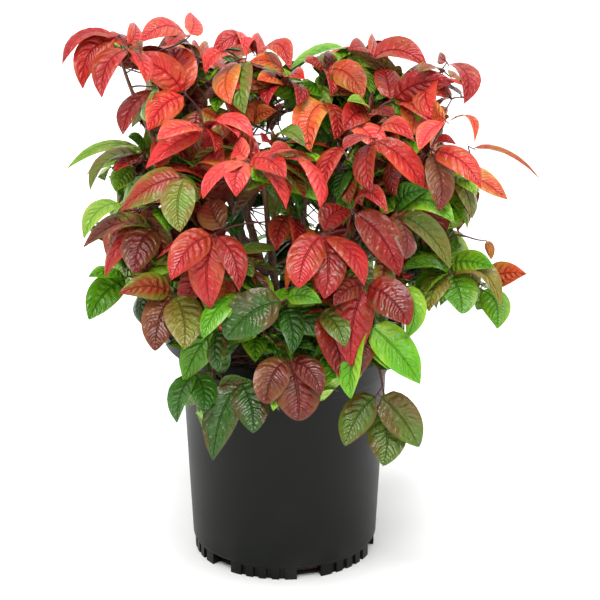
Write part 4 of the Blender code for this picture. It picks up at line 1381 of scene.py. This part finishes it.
def new_piece(name, shape, material, slot, *nodes, sharp=40):
    """An object from a bmesh, riding on the frame and standing for CAD nodes."""
    mesh = mesh_from(name, shape)
    mesh.materials.append(material)
    mesh.shade_smooth()
    mesh.set_sharp_from_angle(angle=math.radians(sharp))
    settle(linked(name, mesh), nodes)
    print(name, len(mesh.polygons), "faces")


# %% Foot ring cutter
DRAINS = 6
DRAIN_WIDTH = 0.024
DRAIN_FIRST_ANGLE = math.radians(-74)
NOTCHES = 4
NOTCH_WIDTH = 0.0055
NOTCH_DEPTH = 0.0028
NOTCH_SPACING = math.radians(8.4)
OVERCUT = 0.002


def cut_box(shape, inner, width, top, angle):
    """A box that reaches into the pot's foot from outside and below, at one angle."""
    outer = RING_RADIUS + OVERCUT
    size = Matrix.Diagonal((outer - inner, width, top + OVERCUT, 1.0))
    place = Matrix.Translation(((outer + inner) / 2, 0.0, (top - OVERCUT) / 2))
    bmesh.ops.create_cube(shape, size=1.0, matrix=Matrix.Rotation(angle, 4, "Z") @ place @ size)


foot_cutter = bmesh.new()
for drain in range(DRAINS):
    angle = DRAIN_FIRST_ANGLE + drain * 2 * math.pi / DRAINS
    cut_box(foot_cutter, RING_INNER_RADIUS - OVERCUT, DRAIN_WIDTH, RING_HEIGHT - 0.001, angle)
    for notch in range(NOTCHES):
        turn = angle + math.pi / DRAINS + (notch - (NOTCHES - 1) / 2) * NOTCH_SPACING
        cut_box(foot_cutter, RING_RADIUS - NOTCH_DEPTH, NOTCH_WIDTH, RING_HEIGHT - 0.002, turn)
cutter = linked("foot_cutter", mesh_from("foot_cutter", foot_cutter))

# %% [markdown]
# ## Plastic
# Nursery plastic is charcoal rather than black, with a satin skin. It carries faint flow lines
# round it, a faint dusting that is heavier near the foot, and hair scratches. All of it is small
# beside the dark colour, so the group mixes three faint masks and leaves the gloss to the shader.

# %% Plastic group
plastic_group, plastic_given, plastic_coordinates, plastic_sockets = new_skin("moulded_plastic", {
    "Plastic Colour": (0.02, 0.02, 0.02, 1.0), "Dust Colour": (0.2, 0.18, 0.15, 1.0)})
plastic_place = plastic_coordinates["Object"]
flow = speckle(plastic_place, 1.0, 2.0, (6.0, 6.0, 420.0))
scratch = remap(speckle(plastic_place, 1.0, 4.0, (60.0, 60.0, 900.0)), 0.70, 0.78)
cloud = speckle(plastic_place, 22.0, 4.0)
low_dust = remap(axes_of(plastic_place)["Z"], 0.05, 0.0)
dust = times(maths("ADD", low_dust, 0.25), remap(cloud, 0.42, 0.8))
dust = times(maths("MAXIMUM", dust, times(scratch, 0.4)), 0.10)
put_out(plastic_sockets, mixed(dust, plastic_given["Plastic Colour"], plastic_given["Dust Colour"]),
        scaled(cloud, 0.16, 0.38), scaled(flow, 0.7, cloud))
pot_plastic = new_material("pot_plastic", plastic_group, {
    "Plastic Colour": linear(10, 13, 9), "Dust Colour": linear(90, 87, 80)},
    specular=0.15, bump=0.12, relief=0.0006)

# %% Pot piece
pot_shape = turned_mesh([tuple(point) for point in pot_profile], POT_TURNS)
pot_uncut = linked("pot_uncut", mesh_from("pot_blank", pot_shape))
cut = pot_uncut.modifiers.new("drains", "BOOLEAN")
cut.operation = "DIFFERENCE"
cut.object = cutter
bpy.context.view_layer.update()
pot_cut = pot_uncut.evaluated_get(bpy.context.evaluated_depsgraph_get())
cut_shape = bmesh.new()
cut_shape.from_mesh(bpy.data.meshes.new_from_object(pot_cut))
for spare in (pot_uncut, cutter):
    bpy.data.objects.remove(spare, do_unlink=True)
new_piece("nursery_pot", cut_shape, pot_plastic, "pot_plastic", "pot")

# %% [markdown]
# ## Potting mix
# The mix is composted bark: a dark, crumbly surface with chips lying in it. A turned plug with a
# rough top fills the pot, and a few hundred chips of six faces each lie on it at all angles.

# %% Mix group
mix_group, mix_given, mix_coordinates, mix_sockets = new_skin("crumbly_mix", {
    "Crumb Colour": (0.05, 0.03, 0.02, 1.0), "Chip Colour": (0.12, 0.07, 0.04, 1.0)})
crumb = speckle(mix_coordinates["Object"], 420.0, 5.0)
clod = speckle(mix_coordinates["Object"], 90.0, 4.0)
mix_colour = mixed(remap(crumb, 0.42, 0.68), mix_given["Crumb Colour"], mix_given["Chip Colour"])
put_out(mix_sockets, mix_colour, scaled(crumb, 0.2, 0.75), scaled(clod, 1.5, crumb))
mix_material = new_material("bark_mix", mix_group, {
    "Crumb Colour": linear(44, 32, 25), "Chip Colour": linear(92, 66, 48)}, bump=0.9, relief=0.002)
chip_material = new_material("bark_chip", mix_group, {
    "Crumb Colour": linear(78, 52, 36), "Chip Colour": linear(126, 92, 66)}, bump=0.6)

# %% Mix plug
MIX_CLEARANCE = 0.0016
MIX_RADIUS = BODY_TOP_RADIUS - WALL - MIX_CLEARANCE
MIX_FOOT_RADIUS = 0.0745
MIX_BASE = 0.0033
MIX_EDGE_DROP = 0.004
MIX_RINGS = 22
MIX_TURNS = 110
ROUGHNESS_SCALE = 70.0
ROUGH_HEIGHT = 0.0022
ROUGH_SINK = 0.0016
mix_profile = [(MIX_RADIUS * ring / MIX_RINGS, MIX_TOP) for ring in range(MIX_RINGS)]
mix_profile += [
    (MIX_RADIUS, MIX_TOP - MIX_EDGE_DROP), (MIX_RADIUS, MIX_TOP - 0.012),
    (BODY_FOOT_RADIUS - WALL - MIX_CLEARANCE, 0.026), (MIX_FOOT_RADIUS, 0.018),
    (MIX_FOOT_RADIUS, MIX_BASE), (0.0, MIX_BASE)]
mix_shape = turned_mesh(mix_profile, MIX_TURNS)
for vert in mix_shape.verts:
    if vert.co.z > MIX_TOP - MIX_EDGE_DROP - 0.001:
        vert.co.z += ROUGH_HEIGHT * noise.fractal(vert.co * ROUGHNESS_SCALE, 0.8, 2.2, 4) - ROUGH_SINK
new_piece("mix_surface", mix_shape, mix_material, "potting_mix", "potting_mix", sharp=180)

# %% Bark chips
CHIP_COUNT = 420
CHIP_REACH = 0.97 * MIX_RADIUS
CHIP_SINK = 0.0008
CHIP_TILT = 0.35
CHIP_WEAR = 0.0006
rng = random.Random(5)
chip_shape = bmesh.new()
for _ in range(CHIP_COUNT):
    angle = rng.uniform(0, 2 * math.pi)
    distance = CHIP_REACH * math.sqrt(rng.random())
    size = (rng.uniform(0.003, 0.009), rng.uniform(0.002, 0.005), rng.uniform(0.0008, 0.0022))
    height = MIX_TOP - CHIP_SINK + rng.uniform(0, 0.0012)
    place = Matrix.Translation((math.cos(angle) * distance, math.sin(angle) * distance, height))
    turn = Matrix.Rotation(rng.uniform(0, math.pi), 4, "Z")
    tilt = Matrix.Rotation(rng.gauss(0, CHIP_TILT), 4, "X")
    chip_place = place @ turn @ tilt @ Matrix.Diagonal((*size, 1.0))
    for vert in bmesh.ops.create_cube(chip_shape, size=1.0, matrix=chip_place)["verts"]:
        vert.co += random_direction(rng) * CHIP_WEAR
new_piece("bark_chips", chip_shape, chip_material, "potting_mix", "potting_mix", sharp=20)
